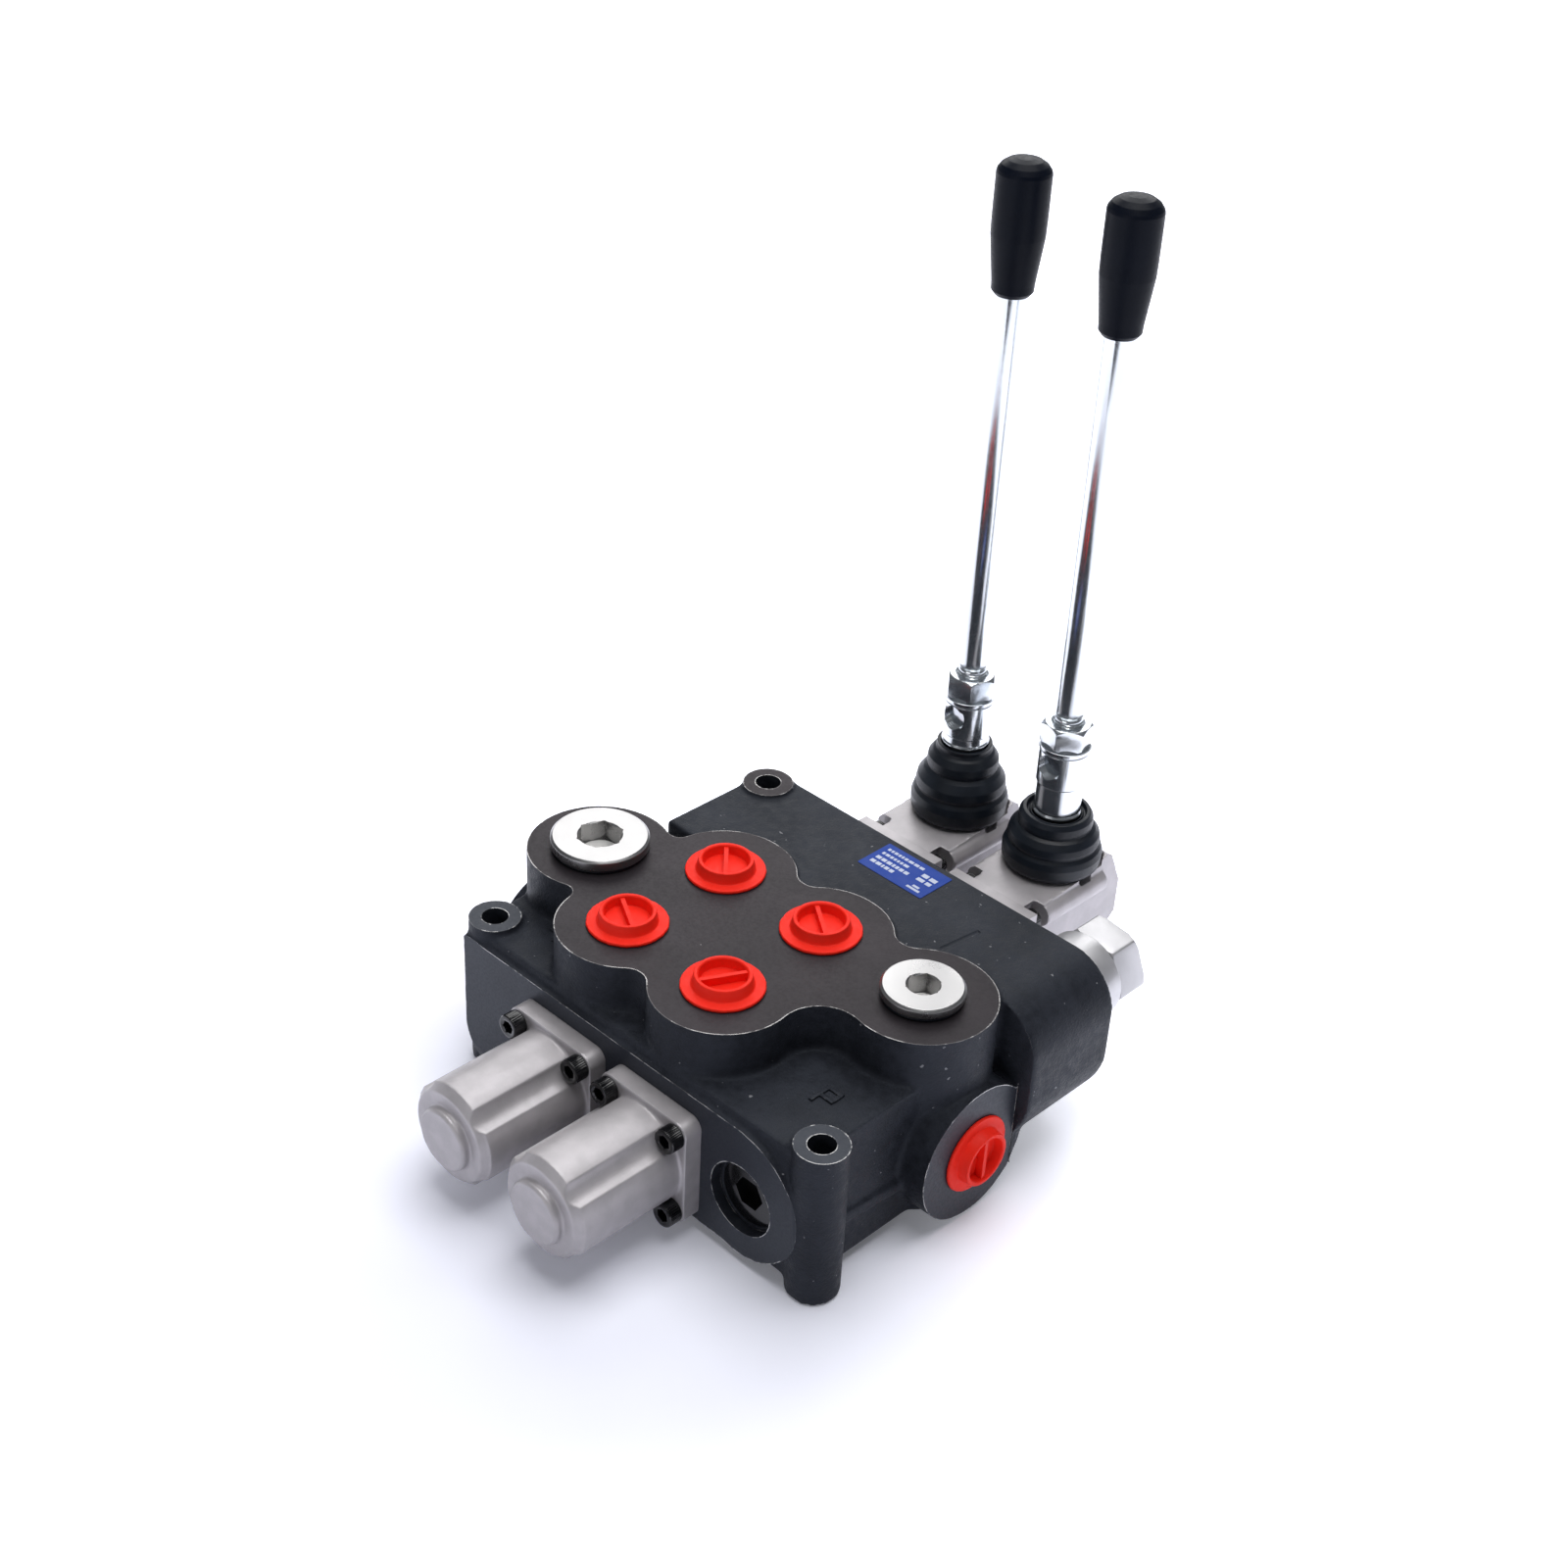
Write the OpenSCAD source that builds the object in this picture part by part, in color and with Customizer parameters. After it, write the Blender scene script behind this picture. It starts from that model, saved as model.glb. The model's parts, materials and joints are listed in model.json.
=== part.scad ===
// Two-section hydraulic monoblock directional valve with hand levers.
// X runs across the spools towards the pressure inlet, Y runs along the
// spools towards the levers, Z is up. The origin is on the foot plane,
// midway between the two front mounting holes.

/* [Casting] */
// Height of the machined port pad above the feet
pad_z = 85; // [84:0.5:88]
// Height of the slab behind the pad
slab_z = 83.5; // [82:0.5:84]
// Height of the cast deck in front of the pad
deck_z = 65; // [62:0.5:67]
// Height of the spool, inlet and outlet axes
axis_z = 30; // [29:0.5:31]
// Front machined face, where the spring caps bolt on
front_y = -11; // [-12:0.5:-10]
// Back face of the full-height slab
slab_y = 140; // [138:0.5:142]
// Back machined face, where the lever housings bolt on
back_y = 170; // [168:0.5:172]
// Spacing of the two spools
pitch = 52; // [52:0.5:54]

/* [Ports] */
// Spacing of the A and B ports along a spool
port_gap = 51.5; // [50:0.5:53]
// Bore of a G3/4 port, at the thread's root
port_d = 24.2; // [24:0.1:24.6]
// Bore of a G1 port, at the thread's root
tank_d = 30.4; // [30:0.1:31]
// Inlet plug, X and Y
inlet_x = 70; // [69:0.5:71]
inlet_y = 71; // [70:0.5:72]
// Outlet plug, X and Y
outlet_x = -79.5; // [-81:0.5:-78]
outlet_y = 46; // [45:0.5:47]
// Radius of the round faces round the side ports
flange_r = 28.5; // [27:0.5:29]
// Inlet face and outlet face, X
inlet_face_x = 102; // [101:0.5:103]
outlet_face_x = -111; // [-112:0.5:-110]

/* [Mounting] */
// Clearance hole for an M10 bolt
mount_d = 10.5; // [10.5:0.5:11]
// Radius of a mounting column
boss_r = 10.4; // [10:0.2:11]
// Height of the two front columns
boss_z = 68; // [66:0.5:70]
// Spacing of the two front holes
mount_gap = 178; // [176:0.5:180]

/* [Spools and levers] */
// Spool diameter
spool_d = 20; // [19:0.5:21]
// Radial clearance of every running fit
run = 0.03; // [0.02:0.01:0.06]
// Travel of a spool each way
stroke = 7; // [5:0.5:7]
// Lever axis, Y
lever_y = 214; // [213:0.5:215]
// Height of the lever's pivot pin
pivot_z = 53; // [52.5:0.5:54]
// Rod diameter
rod_d = 12; // [11:0.5:12]
// Height of the top of the knob
knob_top_z = 341; // [320:1:360]

/* [Hidden] */
$fn = 64;

mid_x = -8.5;                    // middle of the two spools
spool_x = [mid_x - pitch / 2, mid_x + pitch / 2];
port_y = [outlet_y - port_gap / 2, outlet_y + port_gap / 2];
base_z = 5;                      // underside of the front half, above the feet
lobe_r = 28;                     // pad round each work port
inlet_lobe_r = 28.5;
outlet_lobe_r = 29;
left_x = -77.5;                  // left side of the slab
right_x = 89.5;                    // right side of the casting
front_corner_r = 14;              // lower left corner of the front face
slab_end_x = 108;                // rounded end of the slab
slab_front_y = 80;               // front of the slab, between the lobes
slab_end_y = 93;                 // where the rounded end starts
end_top_r = 22;                  // rounding of the slab's end, above and below
end_low_r = 31;
front_b = [-mount_gap / 2, 0];
front_c = [mount_gap / 2, 0];
back_a = [-69, 129.5];
tube_left_x = -60;               // low part of the casting that carries the levers
tube_right_x = 46;
tube_z = 54;
gallery_x = 61.5;                // bore with the check valve
gallery_d = 26;
recess_d = 30;                   // recess in front of the check valve plug
recess_depth = 4.5;
check_plug_y = front_y + recess_depth;
check_seat_y = 50;
port_depth = 19;                 // depth of a threaded port
drill_r = 8;                     // drillings inside the casting
seal_groove_r = 13.5;
relief_x = 83.5;
relief_z = 61;
relief_bore_d = 20;
relief_seat_y = 98;              // inner end of the relief valve's sleeve
relief_thread_r = 13.5;

// Spring cap
cap_w = 46;
cap_h = 47;
cap_flange_t = 7.8;
cap_corner_r = 5;
cap_barrel_r = 21.2;
cap_end_y = -71;
cap_screw = [17.7, 17.8];        // from the spool axis, across and up
cap_bore_r = 16;
cap_groove = [18.8, 18.9];       // middle of a groove, from the spool axis
cap_groove_r = 7.6;
cap_groove_y = -67.3;

// Lever housing
house_w = 44;
house_top_z = 52.5;
house_low_z = 9;
house_flange_t = 9;
house_box_w = 38;
house_end_y = 239;
house_screw_x = 17;              // from the spool axis
house_screw_z = [15, 46];
neck_r = 17;
neck_z = 60;
cavity_w = 24;
cavity_end_y = 233;
boot_seat_r = 21.6;               // round seat of the boot, behind the raised edge
boot_seat_z = 54;
head_pocket_r = 5.9;

// Lever
ball_r = 5;
ball_gap = 0.2;
arm_r = 3.5;
hub_r = 7.5;
hub_w = 18;
pin_r = 4;
stub_r = 7;                      // thread between the arm and the adapter
adapter_z = 69;
adapter_top_z = 109;
adapter_r = 10.5;
cross_hole_z = 102.6;
washer_t = 2;
nut_t = 10;
nut_af = 19;
rod_low_z = 96;
knob_low_z = 288;
knob_r = 10.7;
knob_neck_r = 8.3;

// Socket head screws: head diameter, head height, thread, hexagon
CAP_SCREW = [10, 6, 6, 5];
HOUSE_SCREW = [8.5, 5, 5, 4];

// A cylinder along Y, from y0 to y1
module along_y(x, z, r, y0, y1) {
    translate([x, y0, z]) rotate([-90, 0, 0]) cylinder(r = r, h = y1 - y0);
}

// A cylinder along X, from x0 to x1
module along_x(y, z, r, x0, x1) {
    translate([x0, y, z]) rotate([0, 90, 0]) cylinder(r = r, h = x1 - x0);
}

module post(x, y, r, z0, z1) {
    translate([x, y, z0]) cylinder(r = r, h = z1 - z0);
}

// A box from corner a to corner b
module block(a, b) {
    translate(a) cube(b - a);
}

// A hexagonal bar along Z, by its width across flats
module hex_bar(af, h) {
    cylinder(r = af / sqrt(3), h = h, $fn = 6);
}

// A turned ring along Y with a rectangular section
module ring_y(x, z, r_in, r_out, y0, y1) {
    difference() {
        along_y(x, z, r_out, y0, y1);
        along_y(x, z, r_in, y0 - 1, y1 + 1);
    }
}

// ---------------------------------------------------------------- casting

// Centre of the circle of radius r that touches two round lobes from
// outside, on the right-hand side when going from a to b
function valley_centre(a, ra, b, rb, r) =
    let (d = norm(b - a), u = (b - a) / d,
        along = ((ra + r) * (ra + r) - (rb + r) * (rb + r) + d * d) / (2 * d),
        off = sqrt((ra + r) * (ra + r) - along * along))
    a + u * along + [u[1], -u[0]] * off;

// The web between two lobes, with its concave rounding
module web(a, ra, b, rb, r) {
    c = valley_centre(a, ra, b, rb, r);
    difference() {
        translate([0, 0, base_z]) linear_extrude(pad_z - base_z) polygon([a, c, b]);
        post(c[0], c[1], r + 0.05, base_z - 1, pad_z + 1);
    }
}

// Machined port pad and the core below it: six round lobes and webs
module pad() {
    p = [[spool_x[0], port_y[0]], [spool_x[1], port_y[0]], [inlet_x, inlet_y],
        [spool_x[1], port_y[1]], [spool_x[0], port_y[1]], [outlet_x, outlet_y]];
    radii = [lobe_r, lobe_r, inlet_lobe_r, lobe_r, lobe_r, outlet_lobe_r];
    rounding = [8, 16, 9, 8, 5, 5];
    for (i = [0 : 5]) {
        post(p[i][0], p[i][1], radii[i], base_z, pad_z);
        web(p[i], radii[i], p[(i + 1) % 6], radii[(i + 1) % 6], rounding[i]);
    }
    translate([0, 0, base_z]) linear_extrude(pad_z - base_z) polygon(p);
}

// The rounded end of the slab, as a section across the spools
module slab_end() {
    low_c = [slab_end_x - end_low_r, 45];
    reach = end_low_r * sin(45);
    translate([0, slab_y, 0]) rotate([90, 0, 0]) linear_extrude(slab_y - slab_end_y) {
        translate([slab_end_x - end_top_r, slab_z - end_top_r]) circle(r = end_top_r);
        translate(low_c) circle(r = end_low_r);
        polygon([[45, 8], [low_c[0] + reach - (low_c[1] - reach) + 8, 8],
            low_c + [reach, -reach], low_c, [45, low_c[1]]]);
        translate([45, low_c[1]]) square([slab_end_x - 45, slab_z - end_top_r - low_c[1]]);
        translate([45, low_c[1]]) square([slab_end_x - end_top_r - 45, slab_z - low_c[1]]);
    }
}

module casting() {
    pad();
    // Front half with its deck
    translate([0, 0, base_z + front_corner_r]) linear_extrude(deck_z - base_z - front_corner_r)
        polygon([[-95, front_y + 3], [86.5, front_y + 3], [right_x, 2], [right_x, 86],
            [left_x, 86], [-96.5, 26]]);
    translate([0, 0, base_z]) linear_extrude(front_corner_r + 1)
        polygon([[-95 + front_corner_r, front_y + 3], [86.5, front_y + 3], [right_x, 2],
            [right_x, 86], [left_x, 86], [left_x, 26]]);
    // Front machined face, rounded at its right-hand end
    block([-95, front_y, base_z + front_corner_r], [gallery_x, front_y + 4, deck_z - 3.5]);
    block([-95 + front_corner_r, front_y, base_z], [gallery_x, front_y + 4, base_z + front_corner_r]);
    along_y(-95 + front_corner_r, base_z + front_corner_r, front_corner_r, front_y, front_y + 4);
    along_y(gallery_x - 1, 32.5, 28.5, front_y, front_y + 4);
    // Back half
    block([left_x, slab_front_y, base_z], [right_x - 6, slab_y - 10, slab_z]);
    block([left_x + 9, slab_front_y, base_z], [right_x - 6, slab_y, slab_z]);
    slab_end();
    // Low part that carries the lever housings
    block([tube_left_x, slab_y - 4, base_z], [tube_right_x, back_y, tube_z]);
    // Faces round the side ports
    along_x(inlet_y, axis_z, flange_r, right_x - 20, inlet_face_x);
    along_x(outlet_y, axis_z, flange_r, outlet_face_x, left_x);
    // Mounting columns
    for (p = [front_b, front_c]) post(p[0], p[1], boss_r, 0, boss_z);
    post(back_a[0], back_a[1], boss_r, 0, pad_z);
    // Rib on the right-hand side
    translate([right_x - 1, 9, 24]) rotate([-5, 0, 0]) cube([3, 38, 5]);
}

// Holes that one spool needs in the casting
module section_holes(x) {
    along_y(x, axis_z, spool_d / 2 + run, front_y - 1, back_y + 1);
    // Seal grooves at both ends of the spool bore
    along_y(x, axis_z, seal_groove_r, front_y + 8, front_y + 12);
    along_y(x, axis_z, seal_groove_r, back_y - 12, back_y - 8);
    // Work ports down to the spool
    for (y = port_y) {
        post(x, y, port_d / 2, pad_z - port_depth, pad_z + 1);
        post(x, y, drill_r, axis_z, pad_z - port_depth + 1);
    }
    // Tapped holes for the spring cap and the lever housing
    for (i = [-1, 1]) {
        for (j = [-1, 1])
            along_y(x + i * cap_screw[0], axis_z + j * cap_screw[1], CAP_SCREW[2] / 2 + run,
                front_y - 1, front_y + 14);
        for (z = house_screw_z)
            along_y(x + i * house_screw_x, z, HOUSE_SCREW[2] / 2 + run, back_y - 13, back_y + 1);
    }
}

module valve_body() color([0.13, 0.14, 0.16]) {
    difference() {
        casting();
        for (p = [front_b, front_c, back_a]) post(p[0], p[1], mount_d / 2, -1, pad_z + 1);
        for (x = spool_x) section_holes(x);
        // Inlet from the side and from the top
        along_x(inlet_y, axis_z, port_d / 2, inlet_face_x - port_depth, inlet_face_x + 1);
        along_x(inlet_y, axis_z, drill_r, gallery_x, inlet_face_x - port_depth + 1);
        post(inlet_x, inlet_y, port_d / 2, pad_z - port_depth, pad_z + 1);
        post(inlet_x, inlet_y, drill_r, axis_z, pad_z - port_depth + 1);
        // Outlet from the side and from the top
        along_x(outlet_y, axis_z, port_d / 2, outlet_face_x - 1, outlet_face_x + port_depth);
        along_x(outlet_y, axis_z, drill_r, outlet_face_x + port_depth - 1, spool_x[0]);
        post(outlet_x, outlet_y, tank_d / 2, pad_z - port_depth, pad_z + 1);
        post(outlet_x, outlet_y, drill_r, axis_z, pad_z - port_depth + 1);
        // Gallery with the check valve, closed by a recessed plug
        along_y(gallery_x, axis_z, recess_d / 2, front_y - 1, check_plug_y);
        along_y(gallery_x, axis_z, gallery_d / 2, check_plug_y - 1, check_seat_y);
        along_y(gallery_x, axis_z, 7, check_seat_y - 1, inlet_y);
        // Relief valve bore from the back of the slab
        along_y(relief_x, relief_z, relief_thread_r, slab_y - 16, slab_y + 1);
        along_y(relief_x, relief_z, relief_bore_d / 2, relief_seat_y - 2, slab_y - 15);
        along_y(relief_x, relief_z, 4, inlet_y, relief_seat_y - 1);
        along_x(inlet_y, relief_z, 4, inlet_x, relief_x);
        // Drilling from the check valve to the spools
        along_x(outlet_y, axis_z, 6, spool_x[0], gallery_x);
    }
}

// --------------------------------------------------------- plugs and caps

// A plug with a hexagon socket, its collar standing on z = 0
module socket_plug(collar_d, collar_t, thread_d, thread_l, socket_af) {
    difference() {
        union() {
            rotate_extrude() polygon([[0, 0], [collar_d / 2 - 0.8, 0], [collar_d / 2, 0.8],
                [collar_d / 2, collar_t - 0.8], [collar_d / 2 - 0.8, collar_t], [0, collar_t]]);
            translate([0, 0, -thread_l]) cylinder(d = thread_d, h = thread_l + 0.5);
        }
        translate([0, 0, collar_t - 9]) hex_bar(socket_af, 10);
    }
}

module inlet_top_plug() color([0.78, 0.79, 0.8])
    translate([inlet_x, inlet_y, pad_z + 1]) socket_plug(32, 4.3, port_d - 0.1, 14, 12);

module outlet_top_plug() color([0.78, 0.79, 0.8])
    translate([outlet_x, outlet_y, pad_z + 1]) socket_plug(39.5, 5, tank_d - 0.1, 14, 17);

// A flat ring that stands on the pad
module pad_ring(x, y, r_in, r_out, h) {
    translate([x, y, pad_z]) difference() {
        cylinder(r = r_out, h = h);
        translate([0, 0, -1]) cylinder(r = r_in, h = h + 2);
    }
}

module inlet_top_seal() color([0.1, 0.1, 0.1]) pad_ring(inlet_x, inlet_y, 12.4, 15.4, 1);

module outlet_top_seal() color([0.1, 0.1, 0.1]) pad_ring(outlet_x, outlet_y, 15.5, 19, 1);

// A plastic shipping cap: thin flange, raised rim, a bar across the
// recess and a hollow stem down the port. It stands on z = 0.
module shipping_cap(turn) {
    rotate(turn) difference() {
        union() {
            cylinder(r = 16.3, h = 1.4);
            cylinder(r1 = 11.8, r2 = 11.2, h = 6);
            translate([0, 0, -11]) cylinder(r = 11.9, h = 12);
        }
        difference() {
            translate([0, 0, 1.6]) cylinder(r = 9.3, h = 5);
            block([-10, -0.9, 1], [10, 0.9, 5.2]);
        }
        translate([0, 0, -12]) cylinder(r = 10.4, h = 12.4);
    }
}

module work_port_caps() color([0.9, 0.12, 0.05]) {
    turns = [[-29, -45], [63, -35]];
    for (i = [0, 1], j = [0, 1])
        translate([spool_x[i], port_y[j], pad_z]) shipping_cap(turns[i][j]);
}

module inlet_port_cap() color([0.9, 0.12, 0.05])
    translate([inlet_face_x, inlet_y, axis_z]) rotate([0, 90, 0]) shipping_cap(0);

module outlet_port_cap() color([0.9, 0.12, 0.05])
    translate([outlet_face_x, outlet_y, axis_z]) rotate([0, -90, 0]) shipping_cap(30);

// ------------------------------------------------------------ check valve

module check_plug() color([0.2, 0.21, 0.23]) difference() {
    union() {
        along_y(gallery_x, axis_z, gallery_d / 2 - run, check_plug_y, check_plug_y + 4);
        along_y(gallery_x, axis_z, 10.4, check_plug_y + 3, check_plug_y + 7);
        along_y(gallery_x, axis_z, gallery_d / 2 - run, check_plug_y + 6.5, check_plug_y + 14);
    }
    translate([gallery_x, check_plug_y - 1, axis_z]) rotate([-90, 0, 0]) hex_bar(12, 7);
    along_y(gallery_x, axis_z, 7.5, check_plug_y + 10, check_plug_y + 15);
}

module check_plug_seal() color([0.08, 0.08, 0.08])
    ring_y(gallery_x, axis_z, 10.45, gallery_d / 2 - run, check_plug_y + 4.1, check_plug_y + 6.4);

// A coil spring drawn as a stack of turned wire rings joined by a thin
// wall, along Y
module coil_y(x, z, r, wire, y0, y1, turns) {
    step = (y1 - y0 - 2 * wire) / (turns - 1);
    translate([x, y0, z]) rotate([-90, 0, 0]) rotate_extrude() {
        for (i = [0 : turns - 1]) translate([r, wire + i * step]) circle(r = wire, $fn = 16);
        translate([r - wire * 0.4, 0.2]) square([wire * 0.8, y1 - y0 - 0.4]);
    }
}

module check_spring() color([0.6, 0.6, 0.62])
    coil_y(gallery_x, axis_z, 5.8, 0.9, check_plug_y + 10.2, 27.8, 6);

module check_poppet() color([0.7, 0.7, 0.72]) difference() {
    translate([gallery_x, 20, axis_z]) rotate([-90, 0, 0]) rotate_extrude()
        polygon([[0, 0], [gallery_d / 2 - 2 * run, 0], [gallery_d / 2 - 2 * run, 20], [9, 27], [5.5, 30],
            [0, 30]]);
    along_y(gallery_x, axis_z, 7.5, 19, 28);
}

// ----------------------------------------------------------- relief valve

relief_hex_y = 154;
relief_hex_t = 15;
relief_hex_af = 32;
relief_collar_r = 18;

module relief_sleeve() color([0.75, 0.76, 0.77]) difference() {
    union() {
        along_y(relief_x, relief_z, relief_collar_r, slab_y, relief_hex_y);
        along_y(relief_x, relief_z, relief_thread_r - 0.1, slab_y - 15, slab_y + 1);
        along_y(relief_x, relief_z, relief_bore_d / 2 - run, relief_seat_y, slab_y - 14);
    }
    along_y(relief_x, relief_z, 6.5, relief_seat_y + 2, relief_hex_y + 1);
    along_y(relief_x, relief_z, 3.5, relief_seat_y - 1, relief_seat_y + 3);
}

module relief_seal() color([0.08, 0.08, 0.08])
    ring_y(relief_x, relief_z, 10.1, 13.4, slab_y - 15.9, slab_y - 15.1);

module relief_cap() color([0.78, 0.79, 0.8]) difference() {
    intersection() {
        translate([relief_x, relief_hex_y, relief_z]) rotate([-90, 0, 0]) rotate(7)
            hex_bar(relief_hex_af, relief_hex_t);
        translate([relief_x, relief_hex_y, relief_z]) rotate([-90, 0, 0]) rotate_extrude()
            polygon([[0, 0], [17.7, 0], [18.3, 0.6], [18.3, relief_hex_t - 1.2],
                [16.9, relief_hex_t], [0, relief_hex_t]]);
    }
    along_y(relief_x, relief_z, 5 + run, relief_hex_y - 1, relief_hex_y + relief_hex_t + 1);
}

module relief_adjuster() color([0.35, 0.36, 0.38]) difference() {
    along_y(relief_x, relief_z, 5, 146, relief_hex_y + relief_hex_t + 5);
    translate([relief_x, relief_hex_y + relief_hex_t, relief_z]) rotate([-90, 0, 0]) hex_bar(5, 7);
}

module relief_spring() color([0.6, 0.6, 0.62])
    coil_y(relief_x, relief_z, 4.6, 1, 114.2, 145.8, 9);

module relief_poppet() color([0.7, 0.7, 0.72])
    translate([relief_x, relief_seat_y + 2.2, relief_z]) rotate([-90, 0, 0]) rotate_extrude()
        polygon([[0, 0], [3, 0], [6.5 - run, 6], [6.5 - run, 13.8], [0, 13.8]]);

module data_label() color([0.1, 0.2, 0.65])
    block([-6, 117, slab_z], [27.5, 136, slab_z + 0.3]);

// ---------------------------------------------------- one spool and lever

spring_end_y = -18.2;            // spring end of the spool, clear of the face
seat_t = 2;
spring_l = 28;
bolt_head_y = spring_end_y - spring_l - 2 * seat_t;

module spool(x) color([0.7, 0.71, 0.73]) difference() {
    union() {
        translate([x, spring_end_y, axis_z]) rotate([-90, 0, 0]) rotate_extrude()
            polygon([[0, 0], [9.2, 0], [10, 0.8], [10, 28], [6.5, 30], [6.5, 42], [10, 44], [10, 56],
                [6.5, 58], [6.5, 70], [10, 72], [10, 82], [6.5, 84], [6.5, 96], [10, 98],
                [10, 194], [7, 197], [7, 218], [0, 218]]);
        // Flat tongue that takes the lever's ball
        block([x - 9, 196, axis_z - 4], [x + 9, lever_y + 9, axis_z + 4]);
    }
    post(x, lever_y, ball_r + ball_gap, axis_z - 12, axis_z + 12);
    along_y(x, axis_z, 4 + run, spring_end_y - 1, spring_end_y + 24);
}

module spool_bolt(x) color([0.3, 0.3, 0.32]) {
    along_y(x, axis_z, 4, bolt_head_y - 0.5, spring_end_y + 22);
    difference() {
        along_y(x, axis_z, 6.5, bolt_head_y - 5, bolt_head_y - 0.05);
        translate([x, bolt_head_y - 5.5, axis_z]) rotate([-90, 0, 0]) hex_bar(6, 3.5);
    }
}

module spring_seats(x) color([0.55, 0.56, 0.58]) {
    ring_y(x, axis_z, 4.2, 13, spring_end_y - seat_t, spring_end_y - 0.05);
    ring_y(x, axis_z, 4.2, 13, bolt_head_y, bolt_head_y + seat_t);
}

module centring_spring(x) color([0.6, 0.6, 0.62])
    coil_y(x, axis_z, 10, 1.6, bolt_head_y + seat_t + 0.05, spring_end_y - seat_t - 0.05, 6);

// Four screws along Y at x +/- side. The heads stand on head_y, the shanks
// go towards dir. The size is a row of head, head height, thread, hexagon.
module screws(x, side, heights, head_y, dir, size, shank) {
    for (i = [-1, 1], z = heights)
        translate([x + i * side, head_y, z]) rotate([-90 * dir, 0, 0]) {
            difference() {
                translate([0, 0, -size[1]]) cylinder(d = size[0], h = size[1], $fn = 32);
                translate([0, 0, -size[1] - 1]) hex_bar(size[3], 4);
            }
            cylinder(d = size[2], h = shank, $fn = 32);
        }
}

module spring_cap(x) color([0.72, 0.7, 0.71]) difference() {
    union() {
        // Square flange with round corners
        for (i = [-1, 1]) for (j = [-1, 1])
            along_y(x + i * (cap_w / 2 - cap_corner_r), axis_z + j * (cap_h / 2 - cap_corner_r),
                cap_corner_r, front_y - cap_flange_t, front_y);
        block([x - cap_w / 2 + cap_corner_r, front_y - cap_flange_t, axis_z - cap_h / 2],
            [x + cap_w / 2 - cap_corner_r, front_y, axis_z + cap_h / 2]);
        block([x - cap_w / 2, front_y - cap_flange_t, axis_z - cap_h / 2 + cap_corner_r],
            [x + cap_w / 2, front_y, axis_z + cap_h / 2 - cap_corner_r]);
        // Barrel, its end step and the end disc
        along_y(x, axis_z, cap_barrel_r, cap_end_y + 6.5, front_y - 4);
        translate([x, cap_end_y, axis_z]) rotate([-90, 0, 0]) rotate_extrude()
            polygon([[0, 0], [12, 0], [12.8, 1], [12.8, 3.6], [18.4, 3.6], [cap_barrel_r, 7], [0, 7]]);
    }
    // Four lengthwise grooves that clear the screw heads and run out through the rim
    for (i = [-1, 1]) for (j = [-1, 1])
        along_y(x + i * cap_groove[0], axis_z + j * cap_groove[1], cap_groove_r, cap_groove_y,
            front_y - cap_flange_t);
    along_y(x, axis_z, cap_bore_r, cap_end_y + 8, front_y + 1);
    for (i = [-1, 1]) for (j = [-1, 1])
        along_y(x + i * cap_screw[0], axis_z + j * cap_screw[1], CAP_SCREW[2] / 2 + 0.2,
            front_y - cap_flange_t - 1, front_y + 1);
}

module spool_seals(x) color([0.08, 0.08, 0.08]) {
    ring_y(x, axis_z, spool_d / 2 + run, 13.45, front_y + 8.1, front_y + 11.9);
    ring_y(x, axis_z, spool_d / 2 + run, 13.45, back_y - 11.9, back_y - 8.1);
}

// Side view of the housing box, extruded across X
module house_box(x) difference() {
    translate([x - house_box_w / 2, 0, 0]) rotate([90, 0, 90]) linear_extrude(house_box_w)
        polygon([[back_y + 1, house_low_z], [206, house_low_z], [233, 19], [house_end_y, 24],
            [house_end_y, 41], [232, 56], [228, 58.5], [214, 53.5], [back_y + 1, house_top_z - 2]]);
    post(x, lever_y, boot_seat_r, boot_seat_z, neck_z + 10);
}

module lever_housing(x) color([0.72, 0.7, 0.71]) difference() {
    union() {
        block([x - house_w / 2, back_y, house_low_z],
            [x + house_w / 2, back_y + house_flange_t, house_top_z]);
        house_box(x);
        post(x, lever_y, neck_r, house_top_z - 6, neck_z);
        // Ridges that run back from the upper screws
        for (i = [-1, 1])
            along_y(x + i * house_screw_x, house_screw_z[1], 5.5, back_y + 16, 226);
    }
    // Cavity for the spool end and the lever arm
    block([x - cavity_w / 2, back_y + 6, axis_z - 7.5], [x + cavity_w / 2, cavity_end_y, axis_z + 9]);
    along_y(x, axis_z, 12, back_y - 1, back_y + 19);
    post(x, lever_y, 12, axis_z, neck_z + 1);
    along_x(lever_y, pivot_z, pin_r, x - house_box_w / 2 - 1, x + house_box_w / 2 + 1);
    // Holes and pockets for the four screws
    for (i = [-1, 1], z = house_screw_z) {
        along_y(x + i * house_screw_x, z, HOUSE_SCREW[2] / 2 + 0.2, back_y - 1,
            back_y + house_flange_t + 1);
        along_y(x + i * (house_screw_x + 1), z + (z > axis_z ? 1 : -1), head_pocket_r, back_y + house_flange_t,
            back_y + house_flange_t + 8);
    }
}

module pivot_pin(x) color([0.5, 0.5, 0.52])
    along_x(lever_y, pivot_z, pin_r, x - neck_r + 0.5, x + neck_r - 0.5);

// Forged arm: ball, neck, hub on the pivot pin, and the threaded stub
module lever_arm(x) color([0.6, 0.6, 0.62]) difference() {
    union() {
        translate([x, lever_y, axis_z]) sphere(r = ball_r, $fn = 48);
        post(x, lever_y, arm_r, axis_z, pivot_z);
        along_x(lever_y, pivot_z, hub_r, x - hub_w / 2, x + hub_w / 2);
        post(x, lever_y, stub_r, pivot_z, adapter_z + 16);
    }
    along_x(lever_y, pivot_z, pin_r + run, x - hub_w, x + hub_w);
}

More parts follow.
